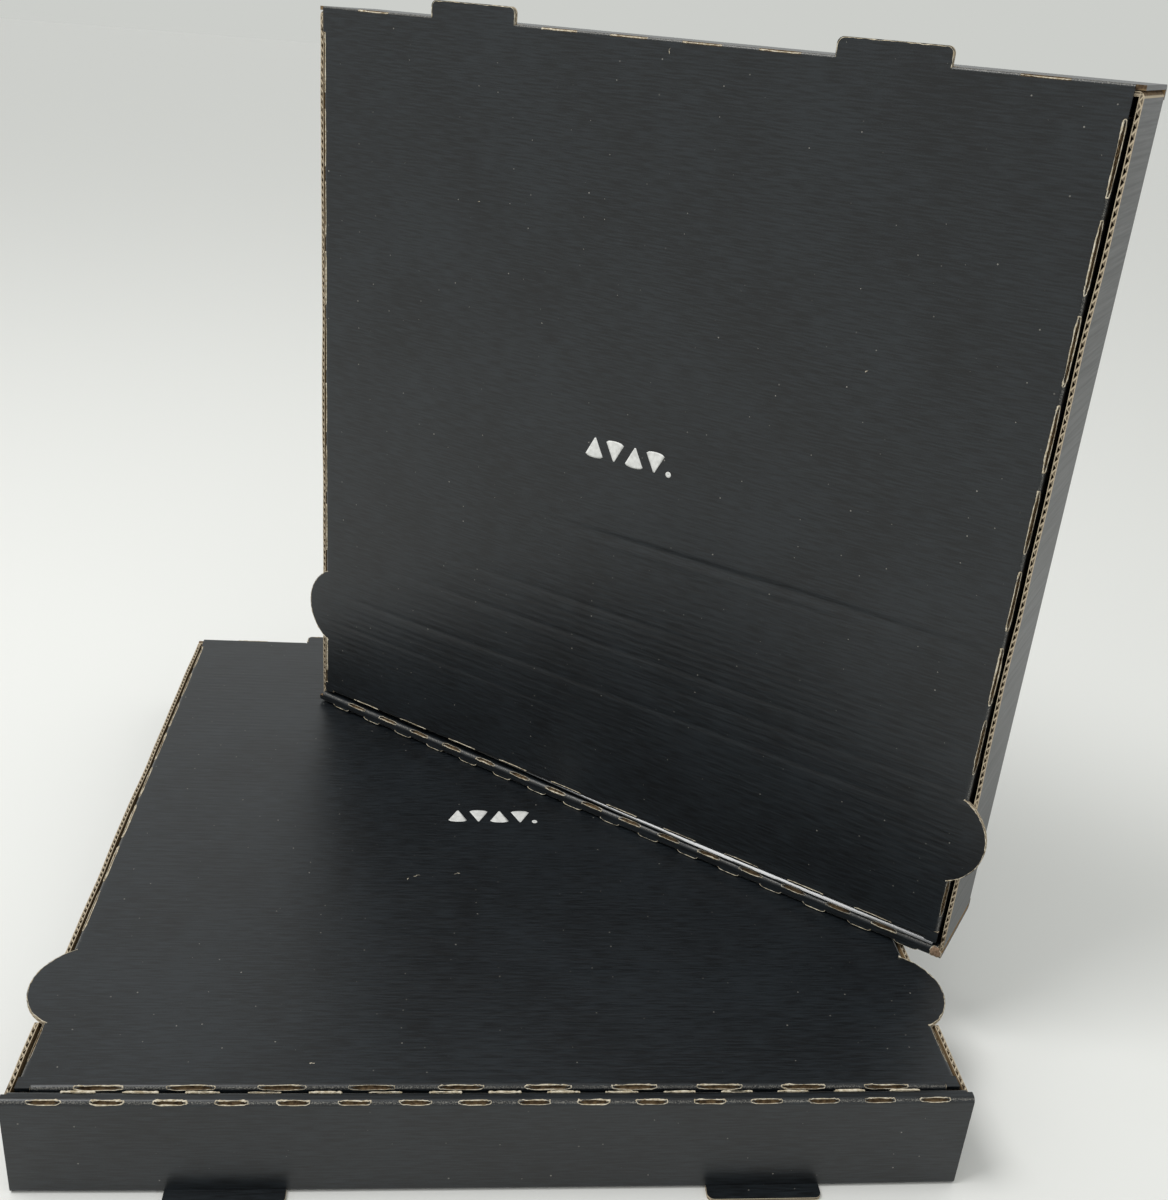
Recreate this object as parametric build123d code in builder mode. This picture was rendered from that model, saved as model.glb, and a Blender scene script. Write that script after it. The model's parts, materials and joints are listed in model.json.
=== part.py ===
import os
from math import cos, radians, sin, sqrt

from build123d import *

os.makedirs("parts", exist_ok=True)

# Two alike pizza boxes, each one blank of corrugated board, slit along its folds and rolled up.
# The lower box lies closed. The upper box stands closed on its front wall, turned, on the lower lid.
# A box's own frame: x runs across it, y from its front to its back, z from its base to its lid,
# with the origin under the middle of the lid, on the base's outer face.

# Board
board = 1.6                  # thickness of the single-wall board
fold_radius = 2.0            # outer round of a fold; its inner corner is sharp
ply_gap = 0.3                # between two plies of board laid on each other

# Flutes, which run across the lid and base and so stand upright in the side walls
flute_pitch = 3.3
flute_web = 0.7              # between two channels, where they are widest
liner = 0.3                  # between a channel and each face of the board

# Box
lid_width = 330.0            # between the side folds of the lid
lid_depth = 331.0            # between the front and back folds of the lid
box_height = 41.0            # floor to the top of the lid
side_gap = 1.5               # side flap of the lid to side wall
front_gap = 2.3              # front flap of the lid to the inner front panel
front_rise = 1.0             # roll-over of the front wall, above the lid
lid_seat = 0.2               # lid over the walls
roll_radius_share = 0.4      # largest fold radius of the roll-over, as a share of its width

# Flaps and ears
flap_depth = 30.0            # flaps of the lid, from its top face
front_flap_inset = 5.0       # front flap's ends, from the side folds
side_flap_inset = 5.0        # side flaps' front ends, from the front fold
side_flap_back_inset = 10.0  # side flaps' rear ends, from the back fold
ear_length = 50.0            # ears of the side walls, behind the front and back walls
corner_land = 1.0            # straight stretch between a side wall's end and its ear's fold

# Tongues cut out of the next panel at a fold, and the windows that they leave
back_tongue_place = 86.9     # middle of each rear tongue, from the middle of the box
back_tongue_width = 40.9
back_tongue_reach = 6.3      # past the outer face of the back wall
lock_place = 95.4            # middle of each front lock, from the middle of the box
lock_width = 41.7
lock_reach = 6.0             # front tongues past the base, and depth of the lock windows
tongue_round = 2.5           # corners of the tongues
tongue_clearance = 0.4       # window round a tongue
lock_clearance = 0.3         # lock tab in its window, at each side
lock_tab_lift = 0.2          # end of the lock tab, above the floor

# Half-moon tabs of the lid, which lie on the side walls
moon_start = 31.0            # front end of the tab's chord, from the front fold
moon_length = 37.0           # chord along the side fold
moon_reach = 10.2            # past the side fold

# Slits along the folds, which open as lens-shaped mouths when the board is bent
slit_width = 1.7
slit_depth = 1.2
lid_slit_length = 16.0       # front fold of the lid
lid_slit_pitch = 30.6
roll_slit_length = 11.0      # both folds of the roll-over, set half a pitch apart
roll_slit_pitch = 20.47
side_slit_length = 24.0      # side folds of the lid, behind the half-moon tab
side_slit_pitch = 30.9
side_slit_start = 80.4       # from the front fold
corner_slit_start = 12.5     # side folds of the lid, in front of the half-moon tab
overrun = 5.0                # how far a cut runs past the face that it starts from

# Place of the upper box on the lower lid
upper_turn = 36.0            # degrees, clockwise from above
upper_shift_x = 44.0         # middle of its lid's front fold, from the middle of the lower lid
upper_shift_y = 0.0

# Places in a box's own frame, at the middle of the board
base_mid = board / 2
lid_mid = box_height - board / 2
wall_top = box_height - board - lid_seat
front_top = box_height + front_rise
side_mid = lid_width / 2 + side_gap + board / 2
tray_half = side_mid + board / 2
lid_side_mid = lid_width / 2 - board / 2
lid_front = -lid_depth / 2
lid_back = lid_depth / 2
back_mid = lid_back - board / 2
flap_mid = lid_front + board / 2
inner_mid = lid_front - front_gap - board / 2
front_ear_mid = inner_mid - board - ply_gap
front_mid = front_ear_mid - board - ply_gap
front_face = front_mid - board / 2
back_ear_mid = back_mid - board - ply_gap
roll_mid = front_top - board / 2
inner_face = inner_mid + board / 2
roll_radius = min(fold_radius, roll_radius_share * (inner_face - front_face))
roll_end = inner_face - roll_radius
side_front = front_ear_mid - board / 2 + fold_radius + corner_land
side_back = back_ear_mid + board / 2 - fold_radius - corner_land
inner_half = side_mid - board / 2 - ply_gap
inner_bottom = board + ply_gap
ear_bottom = max(board, fold_radius) + ply_gap
flap_bottom = box_height - flap_depth
flap_front = lid_front + side_flap_inset
flap_back = lid_back - side_flap_back_inset
lid_half = lid_width / 2
front_flap_half = lid_half - front_flap_inset
lid_end = lid_back - fold_radius
lock_tab_width = lock_width - 2 * lock_clearance
back_window_width = back_tongue_width + 2 * tongue_clearance
back_window_bottom = lid_mid - board / 2 - back_tongue_reach - tongue_clearance
moon_radius = (moon_length**2 / 4 + moon_reach**2) / (2 * moon_reach)
moon_middle = lid_front + moon_start + moon_length / 2
corner_slit_length = moon_start - corner_slit_start

# Frames of the two boxes in the frame of the whole stack
lower_frame = Plane.XY
turn_cos = cos(radians(upper_turn))
turn_sin = sin(radians(upper_turn))
upper_frame = Plane(
    origin=(
        upper_shift_x + turn_sin * box_height,
        upper_shift_y + turn_cos * box_height,
        box_height - front_face,
    ),
    x_dir=(turn_cos, -turn_sin, 0),
    z_dir=(-turn_sin, -turn_cos, 0),
)


def bend(plane, points, length, radius=fold_radius):
    """Board through the points of its middle line, bent at each but the ends and extruded."""
    with BuildSketch(plane) as profile:
        with BuildLine():
            Polyline(*points)
        trace(line_width=board)
        outer_corners = []
        for before, corner, after in zip(points, points[1:], points[2:]):
            inside = Vector(*before) + Vector(*after) - Vector(*corner)
            near = profile.vertices().sort_by_distance(Vector(*corner))[:2]
            outer_corners.append(near.sort_by_distance(inside)[-1])
        fillet(outer_corners, radius=radius)
    extrude(profile.sketch, amount=length)


def bend_across(frame, points, left, right, radius=fold_radius):
    """Board bent along lines that run across the box, through (y, z) points."""
    bend(frame * Plane.YZ.offset(left), points, right - left, radius)


def bend_along(frame, points, front, back):
    """Board bent along lines that run from front to back, through (x, z) points."""
    bend(frame * Plane.XZ.offset(-back), points, back - front)


def bend_upright(frame, points, bottom, top):
    """Board bent along an upright line, through (x, y) points."""
    bend(frame * Plane.XY.offset(bottom), points, top - bottom)


def slab(frame, low, high, mode=Mode.ADD):
    """A flat piece of board, or a straight cut, from its lowest to its highest corner."""
    sizes = [end - start for start, end in zip(low, high)]
    middle = tuple((start + end) / 2 for start, end in zip(low, high))
    with Locations(frame * Location(middle)):
        Box(*sizes, mode=mode)


def tongue(frame, plane, place, width, root, tip):
    """A flat tongue with rounded corners at its tip, which lies furthest along the plane's y."""
    with BuildSketch(frame * plane) as outline:
        with Locations((place, (root + tip) / 2)):
            Rectangle(width, tip - root)
        fillet(outline.vertices().group_by(Axis.Y)[-1], radius=tongue_round)
    extrude(outline.sketch, amount=board / 2, both=True)


def row(count, pitch, middle=0):
    """Places of a row, evenly spaced about its middle."""
    return [middle + (i - (count - 1) / 2) * pitch for i in range(count)]


def cut_slits(frame, corner, outward, along, places, mouth, radius=fold_radius):
    """Slits through a fold. corner is where the two outer faces would meet without its round."""
    out = Vector(*outward).normalized()
    crest = Vector(*corner) - out * ((sqrt(2) - 1) * radius)
    with BuildSketch(frame * Plane(origin=crest + out * overrun, x_dir=along, z_dir=out)) as mouths:
        with Locations(*[(place, 0) for place in places]):
            add(mouth.sketch)
    extrude(mouths.sketch, amount=-(overrun + slit_depth), mode=Mode.SUBTRACT)


def tray(frame):
    """Base, side walls with their ears, back wall, and the front wall rolled over the ears."""
    bend_along(
        frame,
        [(-side_mid, wall_top), (-side_mid, base_mid), (side_mid, base_mid), (side_mid, wall_top)],
        side_front,
        side_back,
    )
    bend_across(
        frame,
        [(side_back, base_mid), (back_mid, base_mid), (back_mid, wall_top)],
        -tray_half,
        tray_half,
    )
    bend_across(
        frame,
        [(side_front, base_mid), (front_mid, base_mid), (front_mid, roll_mid), (roll_end, roll_mid)],
        -tray_half,
        tray_half,
        roll_radius,
    )
    bend_across(
        frame,
        [(roll_end - board, roll_mid), (inner_mid, roll_mid), (inner_mid, inner_bottom)],
        -inner_half,
        inner_half,
        roll_radius,
    )
    for side in (-1, 1):
        for wall_end, ear_mid in ((side_front, front_ear_mid), (side_back, back_ear_mid)):
            bend_upright(
                frame,
                [
                    (side * side_mid, wall_end),
                    (side * side_mid, ear_mid),
                    (side * (tray_half - ear_length), ear_mid),
                ],
                ear_bottom,
                wall_top,
            )


def lock_windows(frame):
    """Windows that the front tongues leave in the base, with the inner panel's tabs in them."""
    for place in (-lock_place, lock_place):
        slab(
            frame,
            (place - lock_width / 2, front_face - overrun, -overrun),
            (place + lock_width / 2, front_face + lock_reach, fold_radius),
            mode=Mode.SUBTRACT,
        )
        slab(
            frame,
            (place - lock_tab_width / 2, inner_mid - board / 2, lock_tab_lift),
            (place + lock_tab_width / 2, inner_mid + board / 2, fold_radius + board),
        )


def back_windows(frame):
    """Windows that the lid's rear tongues leave at the top of the back wall."""
    for place in (-back_tongue_place, back_tongue_place):
        slab(
            frame,
            (place - back_window_width / 2, lid_end, back_window_bottom),
            (place + back_window_width / 2, lid_back + overrun, box_height + overrun),
            mode=Mode.SUBTRACT,
        )


def roll_slits(frame):
    """The two rows of slits along the folds of the roll-over, half a pitch apart."""
    count = int(2 * tray_half // roll_slit_pitch)
    cut_slits(
        frame,
        (0, front_face, front_top),
        (0, -1, 1),
        (1, 0, 0),
        row(count, roll_slit_pitch),
        roll_mouth,
        roll_radius,
    )
    cut_slits(
        frame,
        (0, inner_face, front_top),
        (0, 1, 1),
        (1, 0, 0),
        row(count - 1, roll_slit_pitch),
        roll_mouth,
        roll_radius,
    )


def lid_plate(frame):
    """The lid with its front flap and its two side flaps, up to where its back fold starts."""
    bend_across(
        frame,
        [(flap_mid, flap_bottom), (flap_mid, lid_mid), (lid_end, lid_mid)],
        -front_flap_half,
        front_flap_half,
    )
    bend_along(
        frame,
        [
            (-lid_side_mid, flap_bottom),
            (-lid_side_mid, lid_mid),
            (lid_side_mid, lid_mid),
            (lid_side_mid, flap_bottom),
        ],
        flap_front,
        flap_back,
    )
    slab(
        frame,
        (-lid_half, flap_back, box_height - board),
        (lid_half, lid_end, box_height),
    )
    for left, right in ((-lid_half, -front_flap_half), (front_flap_half, lid_half)):
        slab(frame, (left, lid_front, box_height - board), (right, flap_front, box_height))


def half_moons(frame):
    """The two tabs that stay in the plane of the lid, cut out of its side flaps."""
    for side in (-1, 1):
        fold = side * (lid_half - fold_radius)
        with BuildSketch(frame * Plane.YZ.offset(fold)) as cut:
            with Locations((moon_middle, box_height - moon_reach + moon_radius)):
                Circle(moon_radius)
        extrude(cut.sketch, amount=side * (fold_radius + overrun), mode=Mode.SUBTRACT)
        with BuildSketch(frame * Plane.XY.offset(lid_mid)) as tab:
            with Locations((side * (lid_half + moon_reach - moon_radius), moon_middle)):
                Circle(moon_radius)
        extrude(tab.sketch, amount=board / 2, both=True)


def rear_tongues(frame):
    """Tongues in the plane of the lid, past its back fold."""
    for place in (-back_tongue_place, back_tongue_place):
        tongue(
            frame,
            Plane.XY.offset(lid_mid),
            place,
            back_tongue_width,
            lid_end,
            lid_back + back_tongue_reach,
        )


def lid_slits(frame):
    """Slits along the lid's front fold and its side folds."""
    cut_slits(
        frame,
        (0, lid_front, box_height),
        (0, -1, 1),
        (1, 0, 0),
        row(int(lid_width // lid_slit_pitch), lid_slit_pitch),
        lid_mouth,
    )
    room = flap_back - lid_front - side_slit_start
    count = int((room - side_slit_length) // side_slit_pitch) + 1
    first = lid_front + side_slit_start + side_slit_length / 2
    places = [first + i * side_slit_pitch for i in range(count)]
    corner_place = lid_front + corner_slit_start + corner_slit_length / 2
    for side in (-1, 1):
        corner = (side * lid_half, 0, box_height)
        outward = (side, 0, 1)
        cut_slits(frame, corner, outward, (0, 1, 0), places, side_mouth)
        cut_slits(frame, corner, outward, (0, 1, 0), [corner_place], corner_mouth)


def back_slit_places():
    """Slits along the back fold: the front fold's row, where no tongue is in the way."""
    places = row(int(lid_width // lid_slit_pitch), lid_slit_pitch)
    reach = (back_window_width + lid_slit_length) / 2
    return [place for place in places if abs(abs(place) - back_tongue_place) > reach]


def flutes(frame):
    """The open ends of the flutes along the top edges of the side walls, beside the half-moons."""
    run = side_back - side_front - flute_pitch
    places = row(int(run // flute_pitch), flute_pitch, (side_front + side_back) / 2)
    half_tab = (moon_length + flute_pitch) / 2
    for side in (-1, 1):
        wide = side * (side_mid - board / 2 + liner)
        narrow = side * (side_mid + board / 2 - liner)
        half = (flute_pitch - flute_web) / 2
        with BuildSketch(frame * Plane.XY.offset(wall_top)) as channels:
            for place in places:
                if abs(place - moon_middle) > half_tab:
                    with BuildLine():
                        Polyline(
                            (wide, place - half),
                            (wide, place + half),
                            (narrow, place),
                            close=True,
                        )
                    make_face()
        extrude(channels.sketch, amount=-(wall_top - ear_bottom), mode=Mode.SUBTRACT)


def mouth_outline(length):
    """The lens that a slit opens into: two arcs between its ends."""
    with BuildSketch() as mouth:
        with BuildLine():
            ThreePointArc((-length / 2, 0), (0, slit_width / 2), (length / 2, 0))
            ThreePointArc((length / 2, 0), (0, -slit_width / 2), (-length / 2, 0))
        make_face()
    return mouth


lid_mouth = mouth_outline(lid_slit_length)
roll_mouth = mouth_outline(roll_slit_length)
side_mouth = mouth_outline(side_slit_length)
corner_mouth = mouth_outline(corner_slit_length)

# The lower box, folded from one blank, with its lid joined to its back wall and closed
with BuildPart() as lower_box:
    tray(lower_frame)
    lid_plate(lower_frame)
    bend_across(
        lower_frame,
        [(lid_end - board, lid_mid), (back_mid, lid_mid), (back_mid, back_window_bottom)],
        -lid_half,
        lid_half,
    )
    lock_windows(lower_frame)
    back_windows(lower_frame)
    half_moons(lower_frame)
    rear_tongues(lower_frame)
    for place in (-lock_place, lock_place):
        bend_across(
            lower_frame,
            [
                (front_mid, fold_radius + board),
                (front_mid, base_mid),
                (front_face - lock_reach, base_mid),
            ],
            place - lock_width / 2,
            place + lock_width / 2,
        )
    fillet(lower_box.edges().filter_by(Axis.Z).group_by(Axis.Y)[0], radius=tongue_round)
    roll_slits(lower_frame)
    lid_slits(lower_frame)
    cut_slits(
        lower_frame,
        (0, lid_back, box_height),
        (0, 1, 1),
        (1, 0, 0),
        back_slit_places(),
        lid_mouth,
    )
    flutes(lower_frame)

# The tray of the upper box, with its front tongues straight, in the plane of its front wall
with BuildPart() as upper_tray:
    tray(upper_frame)
    lock_windows(upper_frame)
    back_windows(upper_frame)
    for place in (-lock_place, lock_place):
        tongue(
            upper_frame,
            Plane(origin=(0, front_mid, 0), x_dir=(1, 0, 0), z_dir=(0, 1, 0)),
            place,
            lock_width,
            -fold_radius,
            lock_reach,
        )
    roll_slits(upper_frame)
    flutes(upper_frame)

# The lid of the upper box, which turns on its back fold: its edge there is a round bead
with BuildPart() as upper_lid:
    lid_plate(upper_frame)
    with BuildSketch(upper_frame * Plane.YZ.offset(-lid_half)):
        with Locations((back_mid, lid_mid)):
            Circle(board / 2)
        with Locations(((lid_end + back_mid) / 2, lid_mid)):
            Rectangle(back_mid - lid_end, board)
    extrude(amount=lid_width)
    for place in back_slit_places():
        slab(
            upper_frame,
            (place - lid_slit_length / 2, back_mid, lid_mid - board),
            (place + lid_slit_length / 2, lid_back + overrun, lid_mid + board),
            mode=Mode.SUBTRACT,
        )
    half_moons(upper_frame)
    rear_tongues(upper_frame)
    lid_slits(upper_frame)

for name, piece in (("lower_box", lower_box), ("upper_tray", upper_tray), ("upper_lid", upper_lid)):
    piece.part.label = name
    export_step(piece.part, f"parts/{name}.step")
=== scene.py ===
# %% [markdown]
# # Two pizza boxes of black-printed corrugated board
#
# The lower box lies closed, and the upper one stands closed on its front wall on the lower lid.
# Each box is one blank of thin corrugated board, printed black outside and left brown inside.
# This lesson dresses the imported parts: it starts from their exact shapes, bends the large panels
# a little, as real board bends, and adds what a cutting rule leaves behind: torn paper lips,
# open flutes and pale cut edges.

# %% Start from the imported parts
import json
from math import sqrt

import bmesh
import bpy
import numpy as np
from mathutils import Matrix, Vector
from mathutils.geometry import delaunay_2d_cdt


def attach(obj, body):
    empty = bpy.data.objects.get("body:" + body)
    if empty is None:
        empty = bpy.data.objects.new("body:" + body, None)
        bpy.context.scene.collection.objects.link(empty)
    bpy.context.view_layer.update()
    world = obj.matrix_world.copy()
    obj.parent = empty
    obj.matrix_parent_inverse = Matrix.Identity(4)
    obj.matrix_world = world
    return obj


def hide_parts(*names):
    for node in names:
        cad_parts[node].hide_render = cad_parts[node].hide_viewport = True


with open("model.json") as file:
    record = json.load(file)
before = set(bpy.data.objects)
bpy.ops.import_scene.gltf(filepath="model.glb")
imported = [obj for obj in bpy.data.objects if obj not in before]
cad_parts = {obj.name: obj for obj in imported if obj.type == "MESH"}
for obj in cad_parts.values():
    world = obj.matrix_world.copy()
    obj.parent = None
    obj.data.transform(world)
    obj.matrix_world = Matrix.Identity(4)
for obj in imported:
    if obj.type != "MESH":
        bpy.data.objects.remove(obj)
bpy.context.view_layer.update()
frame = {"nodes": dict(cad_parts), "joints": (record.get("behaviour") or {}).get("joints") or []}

# %% [markdown]
# ## The sizes of the real board and box
#
# All sizes are in millimetres. E-flute board is 1.6 mm thick and has a wave every 3.3 mm.
# A box has its own frame: x runs across it, y from front to back, z from its base to its lid.
# The lower box's frame is the frame of the whole stack. The upper box's frame is read from the
# hinge of its lid, which lies on the lid's back fold.

# %% Sizes in millimetres
mm = 0.001                   # one millimetre in Blender's metres

board = 1.6                  # thickness of the board
fold_radius = 2.0            # outer round of a fold
flute_pitch = 3.3            # one wave of the fluting
ply_gap = 0.3                # between plies laid on each other

lid_width = 330.0
lid_depth = 331.0
box_height = 41.0            # floor to the top of the lid
side_gap = 1.5               # side flap to side wall
front_gap = 2.3              # front flap to the inner front panel
front_rise = 1.0             # roll-over of the front wall, above the lid
lid_seat = 0.2
flap_depth = 30.0
side_flap_back_inset = 10.0

moon_start = 31.0            # half-moon tab, from the front fold
moon_length = 37.0
moon_reach = 10.2
tongue_place = 86.9          # rear tongues of the lid
tongue_width = 40.9
tongue_reach = 6.3
tongue_round = 2.5
lock_reach = 6.0             # front tongues

slit_width = 1.7             # mouth of a slit, at its middle
lid_slit_length, lid_slit_pitch = 16.0, 30.6
roll_slit_length, roll_slit_pitch = 11.0, 20.47
side_slit_length, side_slit_pitch, side_slit_start = 24.0, 30.9, 80.4
corner_slit_start = 12.5

lid_half = lid_width / 2
lid_front, lid_back = -lid_depth / 2, lid_depth / 2
lid_mid = box_height - board / 2
wall_top = box_height - board - lid_seat
front_top = box_height + front_rise
side_mid = lid_half + side_gap + board / 2
tray_half = side_mid + board / 2
lid_side_mid = lid_half - board / 2
back_mid = lid_back - board / 2
back_ear_mid = back_mid - board - ply_gap
flap_mid = lid_front + board / 2
inner_mid = lid_front - front_gap - board / 2
inner_face = inner_mid + board / 2
front_ear_mid = inner_mid - board - ply_gap
front_mid = front_ear_mid - board - ply_gap
front_face = front_mid - board / 2
flap_bottom = box_height - flap_depth
flap_back = lid_back - side_flap_back_inset
moon_middle = lid_front + moon_start + moon_length / 2
corner_slit_length = moon_start - corner_slit_start
wall_run = (front_ear_mid + fold_radius, back_ear_mid - fold_radius)   # side walls, front to back

hinge = frame["joints"][0]
hinge_along = -np.array(hinge["axis"], float)
upward = np.array((0.0, 0.0, 1.0))
upper_axes = np.array((hinge_along, upward, np.cross(hinge_along, upward)))
upper_origin = np.array(hinge["pos_m"], float) / mm - np.array((0, back_mid, lid_mid)) @ upper_axes
frames = {
    "lower": (np.zeros(3), np.eye(3)),
    "upper": (upper_origin, upper_axes),
}
print("upper box stands at", upper_origin.round(1), "mm")


def to_box(points, box):
    """Stack millimetres to a box's own frame: the offset from its origin, along each of its axes."""
    origin, axes = frames[box]
    return (np.asarray(points, float) - origin) @ axes.T


def to_stack(points, box):
    """A box's own frame to stack millimetres."""
    origin, axes = frames[box]
    return np.asarray(points, float) @ axes + origin


# %% [markdown]
# ## Soft unevenness without chance
#
# Board is never quite flat, and cut paper never quite straight. Sums of a few sine waves whose
# lengths don't divide each other never seem to repeat, and they give the same value each run.
# A seeded random generator does the same for small torn shapes.

# %% Smooth steps and waves
def ease(value):
    """0 below 0, 1 above 1, and a smooth step 3t^2 - 2t^3 between."""
    value = np.clip(value, 0, 1)
    return value * value * (3 - 2 * value)


def drift(place, length, phase=0.0):
    """A slow uneven wave of about that length: three sines at 1, 1.7 and 2.9 times the rate."""
    turn = 2 * np.pi * np.asarray(place, float) / length
    return (
        np.sin(turn + phase)
        + 0.6 * np.sin(1.7 * turn + 2.1 * phase + 1.3)
        + 0.4 * np.sin(2.9 * turn + 3.7 * phase + 0.4)
    ) / 2


def torn(shape, seed, runs=2):
    """Random values of that shape, smoothed along the last axis by averaging with neighbours."""
    values = np.random.default_rng(seed).normal(size=shape)
    for _ in range(runs):
        values = (np.roll(values, 1, -1) + 2 * values + np.roll(values, -1, -1)) / 4
    return values / values.std()


# %% [markdown]
# ## How the board bends
#
# The printed liner dips between the tips of the flutes, which gives the washboard that corrugated
# board shows in slanting light. Where the board was pressed, a flute is crushed into a crease.
# The upper lid bears the marks of handling: long creases, stronger ridges near its front, and
# a front edge that swells outwards towards one corner. The walls' free edges wander a little.
# All of this is one function that moves points of a box, so that the mark printed on the lid and
# the torn lips of its slits can follow the same surface.

# %% Creases and relief
washboard_depth = {"lower": 0.020, "upper": 0.024}
ridge_band = (14.0, 118.0)   # from the front fold, where the upper lid's ridges are strongest
ridge_fades = (15.0, 25.0)   # over which they come and go
ridge_gain = 1.1
lid_sag = 0.25
sag_drift = 0.06             # unevenness of the sag
relief_fade = 7.0            # from a fold to the full relief

# from the front fold, start and end across the lid, depth, half-width
creases = {
    "lower": [(63.4, -40.0, 190.0, 0.03, 2.6), (141.2, -190.0, 20.0, 0.03, 3.0)],
    "upper": [
        (132.3, -34.0, 190.0, 0.30, 1.7),
        (128.2, 40.0, 190.0, 0.10, 1.5),
        (178.6, 44.0, 190.0, 0.20, 1.7),
        (97.5, -150.0, 40.0, 0.10, 1.8),
        (81.0, -140.0, 110.0, 0.09, 1.8),
        (58.2, -170.0, 150.0, 0.12, 1.7),
        (41.5, -170.0, 20.0, 0.07, 1.7),
        (71.4, 20.0, 190.0, 0.07, 1.7),
    ],
}
crease_fade = 28.0           # over which a crease dies out at its ends
crease_wander = 0.8
crease_lip = 0.35            # height of the ridge in front of a crease, as a share of its depth

swell_height = 0.5           # of the upper lid's front edge
swell_crest = 1.4            # from the fold's outer edge, where it is highest
swell_length = 2.6           # how fast it dies away behind its crest
swell_start, swell_full = -100.0, 90.0
swell_below, swell_rise = 16.0, 12.0     # from the top of the lid down to where the swell starts
wall_wander = 0.35           # of the side walls' free edges
wall_fade = 20.0             # from the ends of a side wall to the full wander
front_bow = 0.8              # the front wall's ends lie back from its middle
skin_margin = 0.25           # how far a point on a panel may lie off its board


def lid_relief(across, back, box):
    """Height of the lid over its flat plane: washboard, crushed flutes and a slight sag.

    The washboard is a cosine of the flute pitch. A crease is a valley and a lower ridge in front
    of it, each a bell curve. The sag is a bowl: (1 - u^2)(1 - v^2) from edge to edge.
    """
    band = ease((back - ridge_band[0]) / ridge_fades[0]) * ease((ridge_band[1] - back) / ridge_fades[1])
    gain = 1 + ridge_gain * band * (box == "upper")
    flute = np.round(back / flute_pitch)
    uneven = 1 + 0.35 * drift(across, 170, 1.0) + 0.35 * drift(back, 47, 2.0)
    uneven = uneven + 0.5 * drift(across + 60 * flute, 260, 3.0) * drift(flute, 2.7, 0.5)
    height = washboard_depth[box] * gain * uneven * (np.cos(2 * np.pi * back / flute_pitch) - 1) / 2
    for place, start, end, depth, half_width in creases[box]:
        offset = back - place - crease_wander * drift(across, 210, place)
        far = np.minimum(across - start, end - across) / crease_fade
        valley = np.exp(-((offset / half_width) ** 2))
        ridge = np.exp(-(((offset + 2.2 * half_width) / (1.4 * half_width)) ** 2))
        height = height - ease(far) * depth * (valley - crease_lip * ridge)
    bowl = (1 - (across / lid_half) ** 2) * (1 - (2 * back / lid_depth - 1) ** 2)
    return height - lid_sag * bowl + sag_drift * drift(back, 90, 0.7) * bowl


def bend(points, box):
    """Moves points of a box, in its own frame, as its board has bent."""
    moved = np.array(points, float)
    x, y, z = np.moveaxis(np.array(points, float), -1, 0)
    half_board = board / 2 + skin_margin
    in_lid = (np.abs(z - lid_mid) < half_board) & (np.abs(x) <= lid_half)
    edge = np.minimum(np.minimum(lid_half - np.abs(x), y - lid_front), lid_back - y)
    moved[..., 2] += in_lid * ease(edge / relief_fade) * lid_relief(x, y - lid_front, box)
    for side in (-1, 1):
        in_wall = (np.abs(x - side * side_mid) < half_board) & (z < box_height - board)
        loose = ease((y - wall_run[0]) / wall_fade) * ease((wall_run[1] - y) / wall_fade)
        moved[..., 0] += in_wall * loose * (z / wall_top) ** 2 * wall_wander * drift(y, 118, side)
    in_front = (y < inner_face + 0.3) & (y < lid_front - 0.5)
    moved[..., 1] += in_front * front_bow * (np.abs(x) / tray_half) ** 3
    if box == "upper":
        upper_part = ease((z - box_height + swell_below) / swell_rise) * (y > lid_front - 1)
        rise = ease((x - swell_start) / (swell_full - swell_start))
        fall = np.exp(-np.maximum(y - lid_front - swell_crest, 0) / swell_length)
        moved[..., 2] += upper_part * rise * fall * swell_height
    return moved


# %% [markdown]
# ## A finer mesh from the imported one
#
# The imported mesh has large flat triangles, with no points in between that could move. Two steps
# add them and keep the exact outline. First every triangle is cut where it crosses a few evenly
# spaced planes, which gives the long folds and edges points of their own. Then each flat face
# gets an even grid of inner points, as fine as its relief needs, in a Delaunay triangulation.
#
# Blender can bisect a mesh with one plane at a time. In numpy all planes go together: first every
# 16th plane cuts, then those halfway between, and so on. A triangle then meets at most one plane
# at each level, so that all of them are cut at once, and neighbours stay joined.

# %% Cutting by planes
merge_distance = 0.002


def read_mesh(mesh):
    """Points and triangles of a mesh."""
    points = np.empty(len(mesh.vertices) * 3)
    mesh.vertices.foreach_get("co", points)
    triangles = np.empty(len(mesh.polygons) * 3, int)
    mesh.polygons.foreach_get("vertices", triangles)
    return points.reshape(-1, 3), triangles.reshape(-1, 3)


def merged(points, triangles):
    """The same surface with points that share a place made one."""
    mesh = bpy.data.meshes.new("merged")
    mesh.from_pydata(points.tolist(), [], triangles.tolist())
    work = bmesh.new()
    work.from_mesh(mesh)
    bmesh.ops.remove_doubles(work, verts=work.verts, dist=merge_distance)
    bmesh.ops.triangulate(work, faces=work.faces)
    mesh.clear_geometry()
    work.to_mesh(mesh)
    work.free()
    result = read_mesh(mesh)
    bpy.data.meshes.remove(mesh)
    return result


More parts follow.
